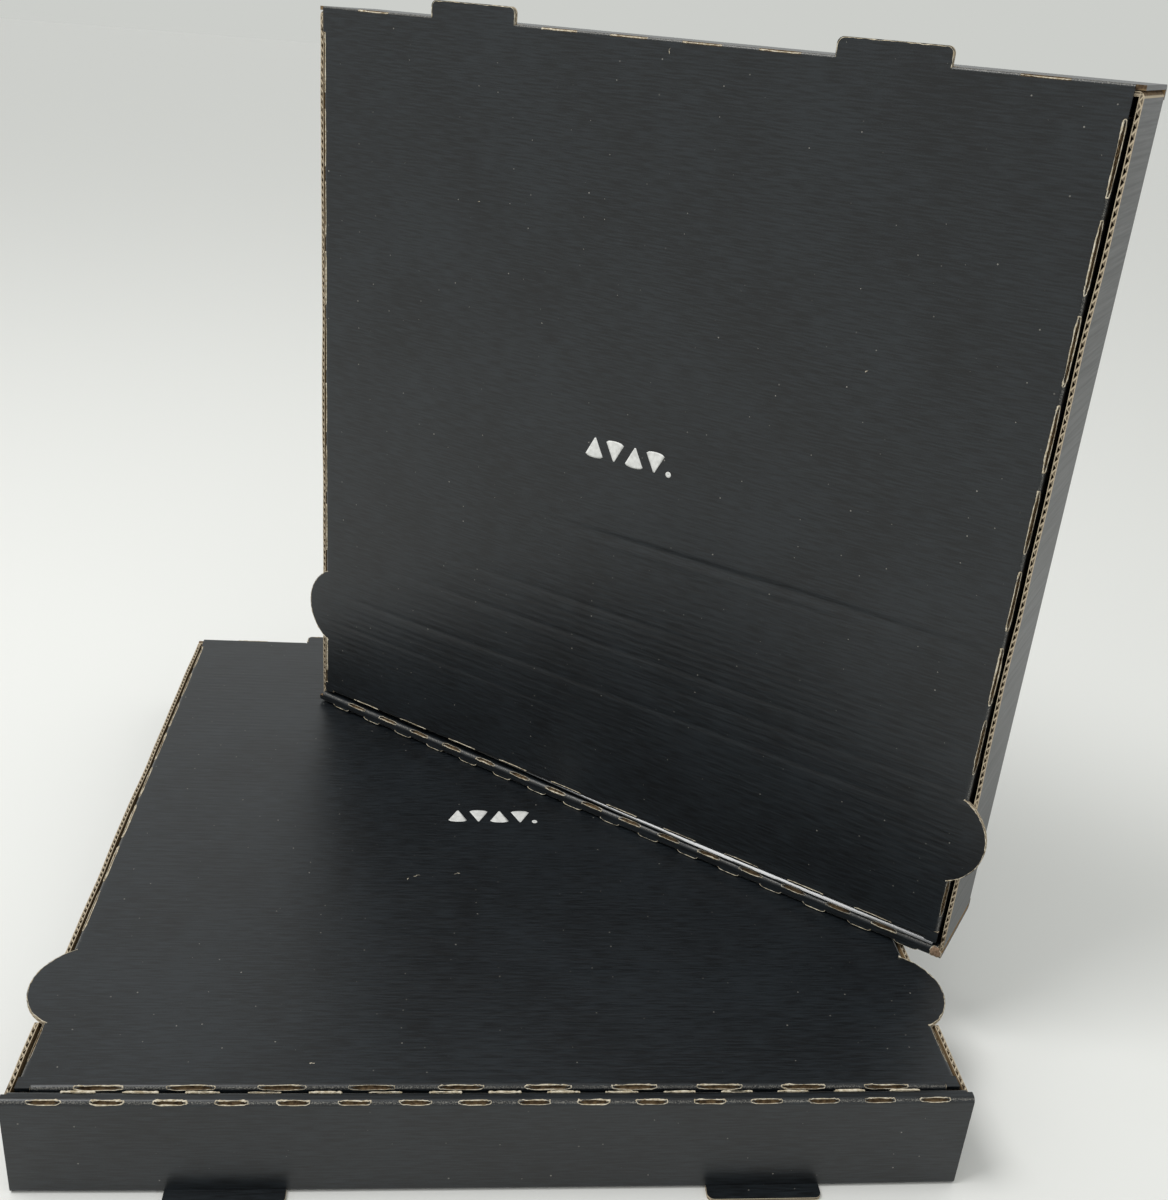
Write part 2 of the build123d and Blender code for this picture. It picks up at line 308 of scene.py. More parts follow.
def cut_by_planes(points, triangles, axis, planes):
    """Splits each triangle along the planes, given by rising places on one axis.

    A corner's place is turned into a plane number with linear interpolation, so that the planes
    are whole numbers. At each level the planes are the whole multiples of a power of two.
    """
    planes = np.concatenate(([planes[0] - 1e3], planes, [planes[-1] + 1e3]))
    number = np.interp(points[:, axis], planes, np.arange(len(planes)))
    snapped = np.round(number)
    number = np.where(np.abs(number - snapped) < 0.03, snapped, number)
    level = 2 ** int(np.ceil(np.log2(len(planes))))
    while level >= 1:
        corner = number[triangles]
        plane = (np.floor(corner.min(1) / level) + 1) * level
        crossing = plane < corner.max(1)
        kept, cut = triangles[~crossing], triangles[crossing]
        plane = plane[crossing].astype(int)
        level //= 2
        if not len(cut):
            continue
        side = np.sign(number[cut] - plane[:, None])
        touching = (side == 0).any(1)
        alone = np.where(touching[:, None], side == 0, side == -side.sum(1)[:, None])
        first = alone.argmax(1)
        turned = cut[np.arange(len(cut))[:, None], (first[:, None] + np.arange(3)) % 3]
        a, b, c = turned.T
        ends = np.concatenate((
            np.stack((a, b), 1)[~touching],
            np.stack((a, c), 1)[~touching],
            np.stack((b, c), 1)[touching],
        ))
        at = np.concatenate((plane[~touching], plane[~touching], plane[touching]))
        ends.sort(1)
        pairs, first_use, which = np.unique(ends, axis=0, return_index=True, return_inverse=True)
        which = which.reshape(-1) + len(points)
        at = at[first_use]
        start, end = points[pairs[:, 0]], points[pairs[:, 1]]
        share = (at - number[pairs[:, 0]]) / (number[pairs[:, 1]] - number[pairs[:, 0]])
        exact = (planes[at] - start[:, axis]) / (end[:, axis] - start[:, axis])
        share = np.where(np.abs(exact - share) < 0.1, exact, share)
        points = np.concatenate((points, start + share[:, None] * (end - start)))
        number = np.concatenate((number, at.astype(float)))
        count = (~touching).sum()
        p, q, r = which[:count], which[count:2 * count], which[2 * count:]
        a1, b1, c1 = turned[~touching].T
        a2, b2, c2 = turned[touching].T
        pieces = (a1, p, q), (p, b1, c1), (p, c1, q), (a2, b2, r), (a2, r, c2)
        triangles = np.concatenate([kept] + [np.stack(piece, 1) for piece in pieces])
    return points, triangles


# %% [markdown]
# ## Which side of the board a face shows
#
# The blank is printed on one side. Once folded, that side is outside everywhere but on the
# inner front panel, which is the front wall rolled over and turned back down. Each panel is
# listed with the middle of its board and the side that carries the print. A face on that side
# is black, one on the other side is bare kraft liner, and what is left is a cut through the board.

# %% The panels of a box
X, Y, Z = 0, 1, 2
PRINT, KRAFT, CUT, FLUTE = range(4)
beyond_all = 400.0           # farther than any part of a box
near = 0.05                  # slack when places are compared
on_skin = 0.005              # how far a flat face may be off, in half boards
channel_depth = 0.8          # an open flute's walls lie within this, in half boards
upright, square_on = 0.1, 0.99           # least and most that such a wall may face z and y
fold_slack = 0.3             # how far a fold reaches past its quarter circle
round_facing, end_facing = 0.9, 0.6      # how much a face looks away from a fold's centre, or along it
wear_reach = 2.0             # from the crest of a fold to where its wear ends

panels = [
    # axis through the board, its middle, the printed side, lowest and highest corner
    (Z, lid_mid, 1, (-beyond_all, lid_front, 0), (beyond_all, lid_back + tongue_reach, 0)),
    (Z, board / 2, -1, (-tray_half, front_face, 0), (tray_half, lid_back, 0)),
    (Z, board / 2, 1, (-tray_half, front_face - lock_reach, 0), (tray_half, front_face, 0)),
    (Z, front_top - board / 2, 1, (-tray_half, front_face, 0), (tray_half, inner_face, 0)),
    (Y, front_mid, -1, (-tray_half, 0, -lock_reach), (tray_half, 0, front_top)),
    (Y, inner_mid, 1, (-tray_half, 0, 0), (tray_half, 0, front_top)),
    (Y, back_mid, 1, (-tray_half, 0, 0), (tray_half, 0, box_height)),
    (Y, flap_mid, -1, (-lid_half, 0, flap_bottom), (lid_half, 0, box_height)),
    (Y, front_ear_mid, -1, (-tray_half, 0, board), (tray_half, 0, wall_top)),
    (Y, back_ear_mid, 1, (-tray_half, 0, board), (tray_half, 0, wall_top)),
]
# direction of the fold, then its centre's place and its outward sign on two axes, and its radius
folds = [
    (X, Y, lid_front + fold_radius, -1, Z, box_height - fold_radius, 1, fold_radius),
    (X, Y, lid_back - fold_radius, 1, Z, box_height - fold_radius, 1, fold_radius),
    (X, Y, front_face + fold_radius, -1, Z, fold_radius, -1, fold_radius),
    (X, Y, lid_back - fold_radius, 1, Z, fold_radius, -1, fold_radius),
    (X, Y, front_face + fold_radius, -1, Z, front_top - fold_radius, 1, fold_radius),
    (X, Y, inner_face - fold_radius, 1, Z, front_top - fold_radius, 1, fold_radius),
    (X, Y, back_mid, 1, Z, lid_mid, 1, board / 2),
    (X, Y, back_mid, 1, Z, lid_mid, -1, board / 2),
]
for side in (-1, 1):
    lid_fold, base_fold = side * (lid_half - fold_radius), side * (tray_half - fold_radius)
    panels += [
        (X, side * side_mid, side, (0, front_face, 0), (0, lid_back, wall_top)),
        (X, side * lid_side_mid, side, (0, lid_front, flap_bottom), (0, lid_back, box_height)),
    ]
    folds += [
        (Y, X, lid_fold, side, Z, box_height - fold_radius, 1, fold_radius),
        (Y, X, base_fold, side, Z, fold_radius, -1, fold_radius),
    ]


def sort_faces(points, triangles):
    """Finish of each triangle, the panel that it belongs to, and whether it lies flat on its skin.

    A flat triangle has all its corners on one skin of a panel. Any other one belongs to the panel
    that it lies in and that it faces least. Those on the round of a fold face away from its centre.
    """
    corner = points[triangles]
    centre = corner.mean(1)
    normal = np.cross(corner[:, 1] - corner[:, 0], corner[:, 2] - corner[:, 0])
    normal /= np.maximum(np.linalg.norm(normal, axis=1), 1e-12)[:, None]
    finish = np.full(len(triangles), CUT)
    owner = np.zeros(len(triangles), int)
    best = np.full(len(triangles), -1.0)
    for index, (axis, middle, printed, low, high) in enumerate(panels):
        offset = (corner[:, :, axis] - middle) * printed / (board / 2)
        inside = (np.abs(offset) < 1 + near / board).all(1)
        for other in {X, Y, Z} - {axis}:
            inside &= (centre[:, other] > low[other] - near) & (centre[:, other] < high[other] + near)
        outer = inside & (np.abs(offset - 1) < on_skin).all(1)
        inner = inside & (np.abs(offset + 1) < on_skin).all(1)
        finish[outer] = PRINT
        finish[inner] = KRAFT
        score = inside * np.where(outer | inner, 2.0, 1 - np.abs(normal[:, axis]))
        better = inside & (score > best)
        owner[better] = index
        best[better] = score[better]
        if axis == X and abs(middle) == side_mid:
            hole = inside & ~outer & ~inner & (np.abs(offset.mean(1)) < channel_depth)
            hole &= (np.abs(normal[:, Z]) < upright) & (np.abs(normal[:, Y]) < square_on)
            finish[hole & (centre[:, Z] < wall_top - near / 2)] = FLUTE
    for along, p_axis, p_place, p_sign, q_axis, q_place, q_sign, radius in folds:
        p = (centre[:, p_axis] - p_place) * p_sign
        q = (centre[:, q_axis] - q_place) * q_sign
        away = np.hypot(p, q)
        zone = (best < 2) & (p > -fold_slack) & (q > -fold_slack) & (away < radius + near)
        radial = normal[:, p_axis] * p_sign * p + normal[:, q_axis] * q_sign * q
        on_round = zone & (away > radius - 3 * near) & (radial > round_facing * np.maximum(away, 1e-6))
        finish[on_round] = PRINT
        finish[zone & ~on_round & (np.abs(normal[:, along]) < end_facing)] = FLUTE
    return finish, owner, best == 2


def fold_nearness(points):
    """1 on the crest of a fold, falling to 0 over the reach of its wear."""
    nearest = np.full(len(points), np.inf)
    for _, p_axis, p_place, p_sign, q_axis, q_place, q_sign, radius in folds:
        crest = radius / sqrt(2)
        p = points[:, p_axis] - p_place - p_sign * crest
        q = points[:, q_axis] - q_place - q_sign * crest
        nearest = np.minimum(nearest, np.hypot(p, q))
    return 1 - ease(nearest / wear_reach)


def board_places(points, triangles, owner):
    """Millimetres along the flutes, across them and through the board, at each face corner.

    The flutes run across lid and base, so they stand upright in the side walls and lie along x
    everywhere else. Depth counts from the bare side, 0, to the printed side, the board's thickness.
    """
    corner = points[triangles]
    places = np.empty_like(corner)
    for index, (axis, middle, printed, *_) in enumerate(panels):
        mine = owner == index
        along, across = {Z: (X, Y), Y: (X, Z), X: (Z, Y)}[axis]
        depth = (corner[mine][:, :, axis] - middle) * printed + board / 2
        places[mine] = np.stack((corner[mine][:, :, along], corner[mine][:, :, across], depth), -1)
    return places


# %% [markdown]
# ## An even grid for a flat face
#
# The flat faces of one side of a panel are taken together. Their outline is kept, point for
# point, so that they still join what surrounds them, and the old inner triangles give way to new
# ones. Blender's own Delaunay triangulation joins the outline to the grid.

# %% Even faces
INSIDE_WITH_HOLES = 4        # how delaunay_2d_cdt is told to leave out what the outline leaves out
grid_margin = 0.25           # between the grid's points and the outline
area_slack = 0.001           # how much of its area a panel may gain or lose
flat_axes = {Z: (X, Y), Y: (X, Z), X: (Y, Z)}
counter_clockwise = {Z: 1, Y: -1, X: 1}      # which way such a face looks along its axis


def even_faces(points, triangles, chosen, axis, facing, grid, squeeze):
    """Points with those of the grid added, and new triangles for the chosen flat ones.

    An edge that only one chosen triangle has is part of the outline. Squeeze shrinks the first
    flat axis, so that the grid's long cells look square to the triangulation.
    """
    edges = np.sort(triangles[chosen][:, [[0, 1], [1, 2], [2, 0]]].reshape(-1, 2), axis=1)
    edges, uses = np.unique(edges, axis=0, return_counts=True)
    used, outline = np.unique(edges[uses == 1], return_inverse=True)
    outline = outline.reshape(-1, 2)
    first, second = flat_axes[axis]
    scale = np.array((squeeze, 1.0))
    rim = points[used][:, (first, second)] * scale
    inner = np.stack(np.meshgrid(*grid, indexing="ij"), -1).reshape(-1, 2) * scale
    inside = ((inner > rim.min(0)) & (inner < rim.max(0))).all(1)
    for start, end in zip(rim[outline[:, 0]], rim[outline[:, 1]]):
        run = end - start
        share = np.clip((inner - start) @ run / max(run @ run, 1e-12), 0, 1)
        inside &= np.linalg.norm(inner - start - share[:, None] * run, axis=1) > grid_margin
    inner = inner[inside]
    flat = np.concatenate((rim, inner))
    result = delaunay_2d_cdt(flat.tolist(), outline.tolist(), [], INSIDE_WITH_HOLES, 1e-6)
    kept = np.concatenate(result[3]).astype(int)
    names = np.concatenate((used, len(points) + np.arange(len(inner))))
    fresh = names[kept[np.array(result[2])]]
    if counter_clockwise[axis] != facing:
        fresh = fresh[:, ::-1]
    added = np.empty((len(inner), 3))
    added[:, (first, second)] = inner / scale
    added[:, axis] = points[used[0], axis]
    return np.concatenate((points, added)), fresh


def area(points, triangles):
    """Half the length of the cross product of two sides, added up."""
    a, b, c = np.moveaxis(points[triangles], 1, 0)
    return np.linalg.norm(np.cross(b - a, c - a), axis=1).sum() / 2


def even_panels(points, triangles, grids):
    """All flat faces made even, and each triangle's finish, panel and whether it isn't flat.

    New faces must cover the same area as the old ones. Where they don't, the old ones stay.
    """
    finish, owner, flat = sort_faces(points, triangles)
    parts = [(triangles[~flat], finish[~flat], owner[~flat])]
    for index, (axis, middle, printed, *_) in enumerate(panels):
        for skin, facing in ((PRINT, printed), (KRAFT, -printed)):
            chosen = flat & (owner == index) & (finish == skin)
            if not chosen.any():
                continue
            grid, squeeze = grids.get(index, (([0.0], [0.0]), 1.0))
            points, fresh = even_faces(points, triangles, chosen, axis, facing, grid, squeeze)
            before, after = area(points, triangles[chosen]), area(points, fresh)
            if abs(before - after) > area_slack * before:
                print("panel", index, "keeps its packed faces")
                fresh = triangles[chosen]
            parts.append((fresh, np.full(len(fresh), skin), np.full(len(fresh), index)))
    triangles, finish, owner = (np.concatenate(column) for column in zip(*parts))
    curved = np.arange(len(triangles)) < len(parts[0][0])
    used, triangles = np.unique(triangles, return_inverse=True)
    return points[used], triangles.reshape(-1, 3), finish, owner, curved


# %% [markdown]
# ## Colours and a helper for nodes
#
# Colours are written as they look on screen, in sRGB hex, and turned to the linear values that a
# shader wants. Every node goes in through one small function with its settings and its links.

# %% Colour and node helpers
def linear(hex_colour):
    """Linear RGBA of an sRGB hex colour: each part to the power 2.4 above the dark toe."""
    parts = [int(hex_colour[i:i + 2], 16) / 255 for i in (0, 2, 4)]
    return tuple(p / 12.92 if p <= 0.04045 else ((p + 0.055) / 1.055) ** 2.4 for p in parts) + (1.0,)


def feed(tree, node, links):
    """Feeds each named input of a node from a socket or with a value."""
    for place, value in dict(links).items():
        if isinstance(value, bpy.types.NodeSocket):
            tree.links.new(value, node.inputs[place])
        else:
            node.inputs[place].default_value = value


def add_node(tree, kind, links=(), output=0, **settings):
    """Adds a node, sets its options, feeds its inputs, and returns the named or first output."""
    made = tree.nodes.new("ShaderNode" + kind)
    for option, value in settings.items():
        setattr(made, option, value)
    feed(tree, made, links)
    return made.outputs[output]


def new_material(name, values):
    """A material, its node tree, and its Principled shader with the given values."""
    material = bpy.data.materials.new(name)
    material.use_nodes = True
    tree = material.node_tree
    shader = tree.nodes["Principled BSDF"]
    feed(tree, shader, values)
    return material, tree, shader


# %% [markdown]
# ## Black flexo print on kraft liner
#
# The outside is water-based black ink, rolled on by a rubber plate and sealed with a thin satin
# varnish. It soaks in unevenly, so it shows faint streaks along the flutes, pinholes where brown
# paper looks through, and pale grains where the ink has cracked over a fold. The varnish gives a
# soft reflection, which is most of what the eye sees: straight on the board is near black, and at
# a slant it turns pale grey. All patterns follow the board's own millimetres.

# %% Material: black print
ink_dark, ink_light = "080b0e", "1b2024"
ink_grain = "84817a"         # kraft fibres that look through the ink
pinhole_spacing = 9.0        # mm between places where one may be
pinhole_size = 0.32
streak_length, streak_width = 60.0, 1.1
dash_length, dash_width = 9.0, 0.7        # short marks of single flute tips
cloud_size = 45.0
grit_size = 0.35             # cracked ink over a fold
print_relief = 0.03 * mm

black_print, tree, shader = new_material("black_flexo_print_satin", {"Roughness": 0.36})
place = add_node(tree, "Attribute", output="Vector", attribute_name="board_place")
wear = add_node(tree, "Attribute", output="Fac", attribute_name="fold_wear")
long_scale, short_scale = (1 / streak_length, 1 / streak_width, 0), (1 / dash_length, 1 / dash_width, 0)
stretched = add_node(tree, "Mapping", {"Vector": place, "Scale": long_scale})
streaks = add_node(tree, "TexNoise", {"Vector": stretched, "Scale": 1.0, "Detail": 3.0})
cloud = add_node(tree, "TexNoise", {"Vector": place, "Scale": 1 / cloud_size, "Detail": 2.0})
shortened = add_node(tree, "Mapping", {"Vector": place, "Scale": short_scale})
dashes = add_node(tree, "TexNoise", {"Vector": shortened, "Scale": 1.0, "Detail": 1.0})
grain = add_node(tree, "TexNoise", {"Vector": place, "Scale": 1 / grit_size, "Detail": 2.0})

uneven = add_node(tree, "Math", {0: grain, 1: 0.45, 2: dashes}, operation="MULTIPLY_ADD")
uneven = add_node(tree, "Math", {0: cloud, 1: 0.5, 2: uneven}, operation="MULTIPLY_ADD")
ink = add_node(tree, "MapRange", {"Value": uneven, "From Min": 0.80, "From Max": 1.16})
ink = add_node(
    tree, "Mix", {"Factor": ink, "A": linear(ink_dark), "B": linear(ink_light)},
    output="Result", data_type="RGBA",
)

# %% Black print: pinholes, cracks and relief
cells = add_node(
    tree, "TexVoronoi", {"Vector": place, "Scale": 1 / pinhole_spacing, "Randomness": 1.0},
    output="Color", voronoi_dimensions="2D",
)
chance = add_node(tree, "SeparateColor", {"Color": cells}).node.outputs
reach = add_node(tree, "MapRange", {
    "Value": chance["Red"], "From Min": 0.6, "To Max": pinhole_size / pinhole_spacing,
})
pinholes = add_node(tree, "Math", {0: cells.node.outputs["Distance"], 1: reach}, operation="LESS_THAN")
faint = add_node(tree, "Math", {0: pinholes, 1: chance["Green"]}, operation="MULTIPLY")
cracked = add_node(tree, "Math", {0: grain, 1: wear}, operation="MULTIPLY")
cracked = add_node(tree, "MapRange", {"Value": cracked, "From Min": 0.44, "From Max": 0.60, "To Max": 0.75})
bare = add_node(tree, "Math", {0: faint, 1: cracked}, operation="MAXIMUM")
colour = add_node(
    tree, "Mix", {"Factor": bare, "A": ink, "B": linear(ink_grain)}, output="Result", data_type="RGBA",
)
satin = add_node(tree, "MapRange", {
    "Value": streaks, "From Min": 0.3, "From Max": 0.7, "To Min": 0.33, "To Max": 0.41,
})
height = add_node(tree, "Math", {0: grain, 1: 0.35, 2: streaks}, operation="MULTIPLY_ADD")
height = add_node(tree, "Math", {0: height, 1: dashes}, operation="ADD")
relief = add_node(tree, "Bump", {"Height": height, "Strength": 0.5, "Distance": print_relief})
feed(tree, shader, {"Base Color": colour, "Roughness": satin, "Normal": relief})

# %% [markdown]
# ## Bare kraft liner
#
# Inside, the board is unbleached kraft paper: long brown wood fibres, pressed but not coated. It
# has no gloss, its colour wanders a little, and darker shives lie in it along the machine's run.

# %% Material: kraft liner
kraft_dark, kraft_light, shive = "8a6d4b", "b0946d", "6b5236"
fibre_length, fibre_width = 7.0, 0.5
kraft_cloud_size = 30.0
washboard_relief = 0.04 * mm

kraft_liner, tree, shader = new_material("kraft_liner_bare", {"Roughness": 0.82, "Specular IOR Level": 0.3})
place = add_node(tree, "Attribute", output="Vector", attribute_name="board_place")
laid = add_node(tree, "Mapping", {"Vector": place, "Scale": (1 / fibre_width, 1 / fibre_length, 0)})
fibres = add_node(tree, "TexNoise", {"Vector": laid, "Scale": 1.0, "Detail": 4.0})
cloud = add_node(tree, "TexNoise", {"Vector": place, "Scale": 1 / kraft_cloud_size, "Detail": 3.0})
mixed = add_node(tree, "Math", {0: cloud, 1: 0.3, 2: fibres}, operation="MULTIPLY_ADD")
tone = add_node(tree, "MapRange", {"Value": mixed, "From Min": 0.40, "From Max": 0.90})
paper = add_node(
    tree, "Mix", {"Factor": tone, "A": linear(kraft_dark), "B": linear(kraft_light)},
    output="Result", data_type="RGBA",
)
dark_fibres = add_node(tree, "MapRange", {"Value": fibres, "From Min": 0.66, "From Max": 0.74, "To Max": 0.7})
paper = add_node(
    tree, "Mix", {"Factor": dark_fibres, "A": paper, "B": linear(shive)}, output="Result", data_type="RGBA",
)
across = add_node(tree, "SeparateXYZ", {"Vector": place}, output="Y")
phase = add_node(tree, "Math", {0: across, 1: 2 * np.pi / flute_pitch}, operation="MULTIPLY")
wave = add_node(tree, "Math", {0: phase}, operation="COSINE")
height = add_node(tree, "Math", {0: wave, 1: fibres}, operation="ADD")
relief = add_node(tree, "Bump", {"Height": height, "Strength": 0.6, "Distance": washboard_relief})
feed(tree, shader, {"Base Color": paper, "Normal": relief})

# %% [markdown]
# ## The cut through the board
#
# A steel rule cuts the blank out. The cut shows three papers: a liner on each side and the wavy
# fluting between them. The hollows in the waves are painted shade: a dark colour on the flat cut face
# stands in for the shade inside them. The fluting's height follows a triangle wave of the place
# across the flutes. Where the cut runs along a flute, the same formula gives one long pale paper
# line or one long dark line of painted shade, as on the real edge, and slow noise makes it wander.

# %% Material: cut edge
# the third colour is painted shade: the dark hollows between the fluting's waves, put on the flat cut face
cut_pale, cut_brown, cut_hollow_shade = "cbc0aa", "a08c70", "2c231b"
paper_line = 0.16            # half a paper line's share of the board
fuzz_depth = 0.14            # how far a torn line strays, as a share of the board
fuzz_relief = 0.1 * mm

cut_edge, tree, shader = new_material(
    "cut_edge_of_e_flute_board", {"Roughness": 0.85, "Specular IOR Level": 0.25},
)
place = add_node(tree, "Attribute", output="Vector", attribute_name="board_place")
parts = add_node(tree, "SeparateXYZ", {"Vector": place}).node.outputs
slow = add_node(tree, "TexNoise", {"Vector": place, "Scale": 0.06, "Detail": 2.0})
fuzz = add_node(tree, "TexNoise", {"Vector": place, "Scale": 2.2, "Detail": 3.0})
shifted = add_node(tree, "Math", {0: slow, 1: 2.2, 2: parts["Y"]}, operation="MULTIPLY_ADD")
swing = add_node(tree, "Math", {0: shifted, 1: flute_pitch / 2}, operation="PINGPONG")
level = add_node(tree, "MapRange", {
    "Value": swing, "From Max": flute_pitch / 2, "To Min": 0.18, "To Max": 0.82,
})
depth = add_node(tree, "Math", {0: parts["Z"], 1: board}, operation="DIVIDE")
rough_depth = add_node(tree, "Math", {0: fuzz, 1: fuzz_depth, 2: depth}, operation="MULTIPLY_ADD")
rough_depth = add_node(tree, "Math", {0: rough_depth, 1: fuzz_depth / 2}, operation="SUBTRACT")
from_wave = add_node(tree, "Math", {0: rough_depth, 1: level}, operation="SUBTRACT")
from_wave = add_node(tree, "Math", {0: from_wave}, operation="ABSOLUTE")
from_side = add_node(tree, "Math", {0: rough_depth, 1: 0.5}, operation="PINGPONG")
from_paper = add_node(tree, "Math", {0: from_wave, 1: from_side}, operation="MINIMUM")
# painted shade: away from the paper lines the cut face is darkened, where the flute hollows lie in shade
painted_hollow_shade = add_node(tree, "MapRange", {
    "Value": from_paper, "From Min": paper_line * 0.8, "From Max": paper_line * 1.3, "To Max": 0.75,
})
paper = add_node(
    tree, "Mix", {"Factor": fuzz, "A": linear(cut_brown), "B": linear(cut_pale)},
    output="Result", data_type="RGBA",
)
# mixes the painted shade of the hollows into the paper colour
colour = add_node(
    tree, "Mix", {"Factor": painted_hollow_shade, "A": paper, "B": linear(cut_hollow_shade)}, output="Result", data_type="RGBA",
)
relief = add_node(tree, "Bump", {"Height": fuzz, "Strength": 0.7, "Distance": fuzz_relief})
feed(tree, shader, {"Base Color": colour, "Normal": relief})

# %% [markdown]
# ## Fluting, torn paper and white ink
#
# Inside the flutes and the slits' mouths lies the rough fluting paper. The torn lips of the slits
# are the liner's own fibres, pulled out pale and soft. The printed mark is opaque white ink.
# Where the print has been rubbed, the liner shows brown or the varnish has turned shiny.

# %% Materials: fluting, torn paper, white ink
def fibre_material(name, dark, light, grain_size, values):
    """Paper or ink whose colour wanders between two tones over a grain size in millimetres."""
    material, tree, shader = new_material(name, {"Specular IOR Level": 0.25, **values})
    spot = add_node(tree, "TexCoord", output="Object")
    noise = add_node(tree, "TexNoise", {"Vector": spot, "Scale": 1 / (grain_size * mm), "Detail": 3.0})
    tone = add_node(tree, "MapRange", {"Value": noise, "From Min": 0.35, "From Max": 0.65})
    colour = add_node(
        tree, "Mix", {"Factor": tone, "A": linear(dark), "B": linear(light)},
        output="Result", data_type="RGBA",
    )
    relief = add_node(tree, "Bump", {"Height": noise, "Strength": 0.5, "Distance": 0.05 * mm})
    feed(tree, shader, {"Base Color": colour, "Normal": relief})
    return material


fluting = fibre_material("fluting_paper_brown", "4b3b2b", "7d684c", 1.5, {"Roughness": 0.9})
torn_paper = fibre_material("torn_liner_fibres", "a5977d", "d8cfbc", 1.2, {"Roughness": 0.9})
white_ink = fibre_material("opaque_white_ink", "d2d2cf", "e6e6e3", 2.0, {"Roughness": 0.45})
rubbed_liner = fibre_material("liner_bared_by_rubbing", "62503f", "937a65", 0.8, {"Roughness": 0.85})
tab_print = fibre_material(
    "black_print_on_the_tabs", "101417", "1c2226", 1.5, {"Roughness": 0.36, "Specular IOR Level": 0.5},
)
burnished_print = fibre_material("black_print_burnished_at_the_edge", "101417", "1b1f22", 2.5, {
    "Roughness": 0.24, "Specular IOR Level": 0.5, "Coat Weight": 0.7, "Coat Roughness": 0.18,
})
board_materials = [black_print, kraft_liner, cut_edge, fluting]      # by finish
print("materials:", [material.name for material in bpy.data.materials])

# %% [markdown]
# ## The three boards
#
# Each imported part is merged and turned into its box's own frame. It is cut by planes, sorted into
# finishes while it is still flat, and given grids on its large panels, with rows a quarter of a
# flute apart on the lid. Then it is bent and turned back. The finished mesh keeps the packed
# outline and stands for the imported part.

# %% Making a piece
# a box's frame, the body that a piece rides on, and its slot
LOWER = ("lower", "stack", "lower_box_board")
TRAY = ("upper", "stack", "upper_tray_board")
LID = ("upper", "lid", "upper_lid_board")
lids = {"lower": LOWER, "upper": LID}


def add_object(name, data):
    """An object at the origin, linked to the scene."""
    made = bpy.data.objects.new(name, data)
    bpy.context.scene.collection.objects.link(made)
    return made


def make_piece(name, points, faces, home, materials, sharp=None, finish=None):
    """A mesh object from points in a box's frame, bent with its board, riding on a body."""
    box, body, slot = home
    mesh = bpy.data.meshes.new(name)
    placed = to_stack(bend(points, box), box) * mm
    mesh.from_pydata(placed.tolist(), [], np.asarray(faces).tolist())
    for material in materials:
        mesh.materials.append(material)
    if finish is not None:
        mesh.polygons.foreach_set("material_index", np.asarray(finish, np.int32))
    mesh.polygons.foreach_set("use_smooth", np.ones(len(mesh.polygons), bool))
    if sharp is not None:
        mesh.set_sharp_from_angle(angle=np.radians(sharp))
    mesh.update()
    piece = add_object(name, mesh)
    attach(piece, body)
    print(f"{name}: {len(mesh.vertices)} points, {len(mesh.polygons)} faces")
    return piece


# %% Grids of the panels
fold_sharpness = 38          # degrees
edge_insets = np.array((0.6, 2.0, 4.0, 7.0, 11.0))      # closer columns beside the side folds
column_step, column_reach = 16.0, 144.0
wall_step, level_step = 8.0, 9.0
fold_row_step, fold_row_reach = 0.4, 8.0                # close rows behind the front fold
lid_squeeze = 0.05

edge_columns = lid_half - fold_radius - edge_insets
middle_columns = np.arange(-column_reach, column_reach + 0.1, column_step)
lid_columns = np.unique(np.concatenate((-edge_columns, edge_columns, middle_columns)))
front_rows = lid_front + fold_radius + np.arange(0.3, fold_row_reach, fold_row_step)
rear_rows = np.arange(front_rows[-1] + 0.6, lid_back - fold_radius, flute_pitch / 4)
front_columns = np.linspace(-tray_half + fold_radius, tray_half - fold_radius, 22)
wall_columns = np.arange(wall_run[0] + wall_step / 2, wall_run[1], wall_step)
wall_levels = np.arange(fold_radius + level_step / 2, wall_top, level_step)

grids = {}
for index, (axis, middle, *_) in enumerate(panels):
    if (axis, middle) == (Z, lid_mid):
        grids[index] = (lid_columns, np.concatenate((front_rows, rear_rows))), lid_squeeze
    elif middle in (front_mid, inner_mid):
        grids[index] = (front_columns, wall_levels), 1.0
    elif abs(middle) == side_mid:
        grids[index] = (wall_columns, wall_levels), 1.0
print("panels with grids:", sorted(grids))


# %% Boards cut, sorted and bent
def dress_board(name, node, home):
    """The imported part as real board: finer, bent, and with a finish for each side."""
    points, triangles = read_mesh(frame["nodes"][node].data)
    points, triangles = merged(points / mm, triangles)
    points = to_box(points, home[0])
    points, triangles = cut_by_planes(points, triangles, X, front_columns)
    points, triangles = cut_by_planes(points, triangles, Y, wall_columns)
    points, triangles = merged(points, triangles)
    points, triangles, finish, owner, curved = even_panels(points, triangles, grids)
    places = board_places(points, triangles, owner)
    wear_of = fold_nearness(points)[triangles] * curved[:, None]
    piece = make_piece(name, points, triangles, home, board_materials, fold_sharpness, finish)
    place = piece.data.attributes.new("board_place", "FLOAT_VECTOR", "CORNER")
    place.data.foreach_set("vector", places.reshape(-1).astype(np.float32))
    worn = piece.data.attributes.new("fold_wear", "FLOAT", "CORNER")
    worn.data.foreach_set("value", wear_of.reshape(-1).astype(np.float32))
    piece.modifiers.new("even shading", "WEIGHTED_NORMAL").keep_sharp = True
    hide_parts(node)


dress_board("lower_box_folded_board", "lower_box", LOWER)
dress_board("upper_tray_folded_board", "upper_tray", TRAY)
dress_board("upper_lid_folded_board", "upper_lid", LID)

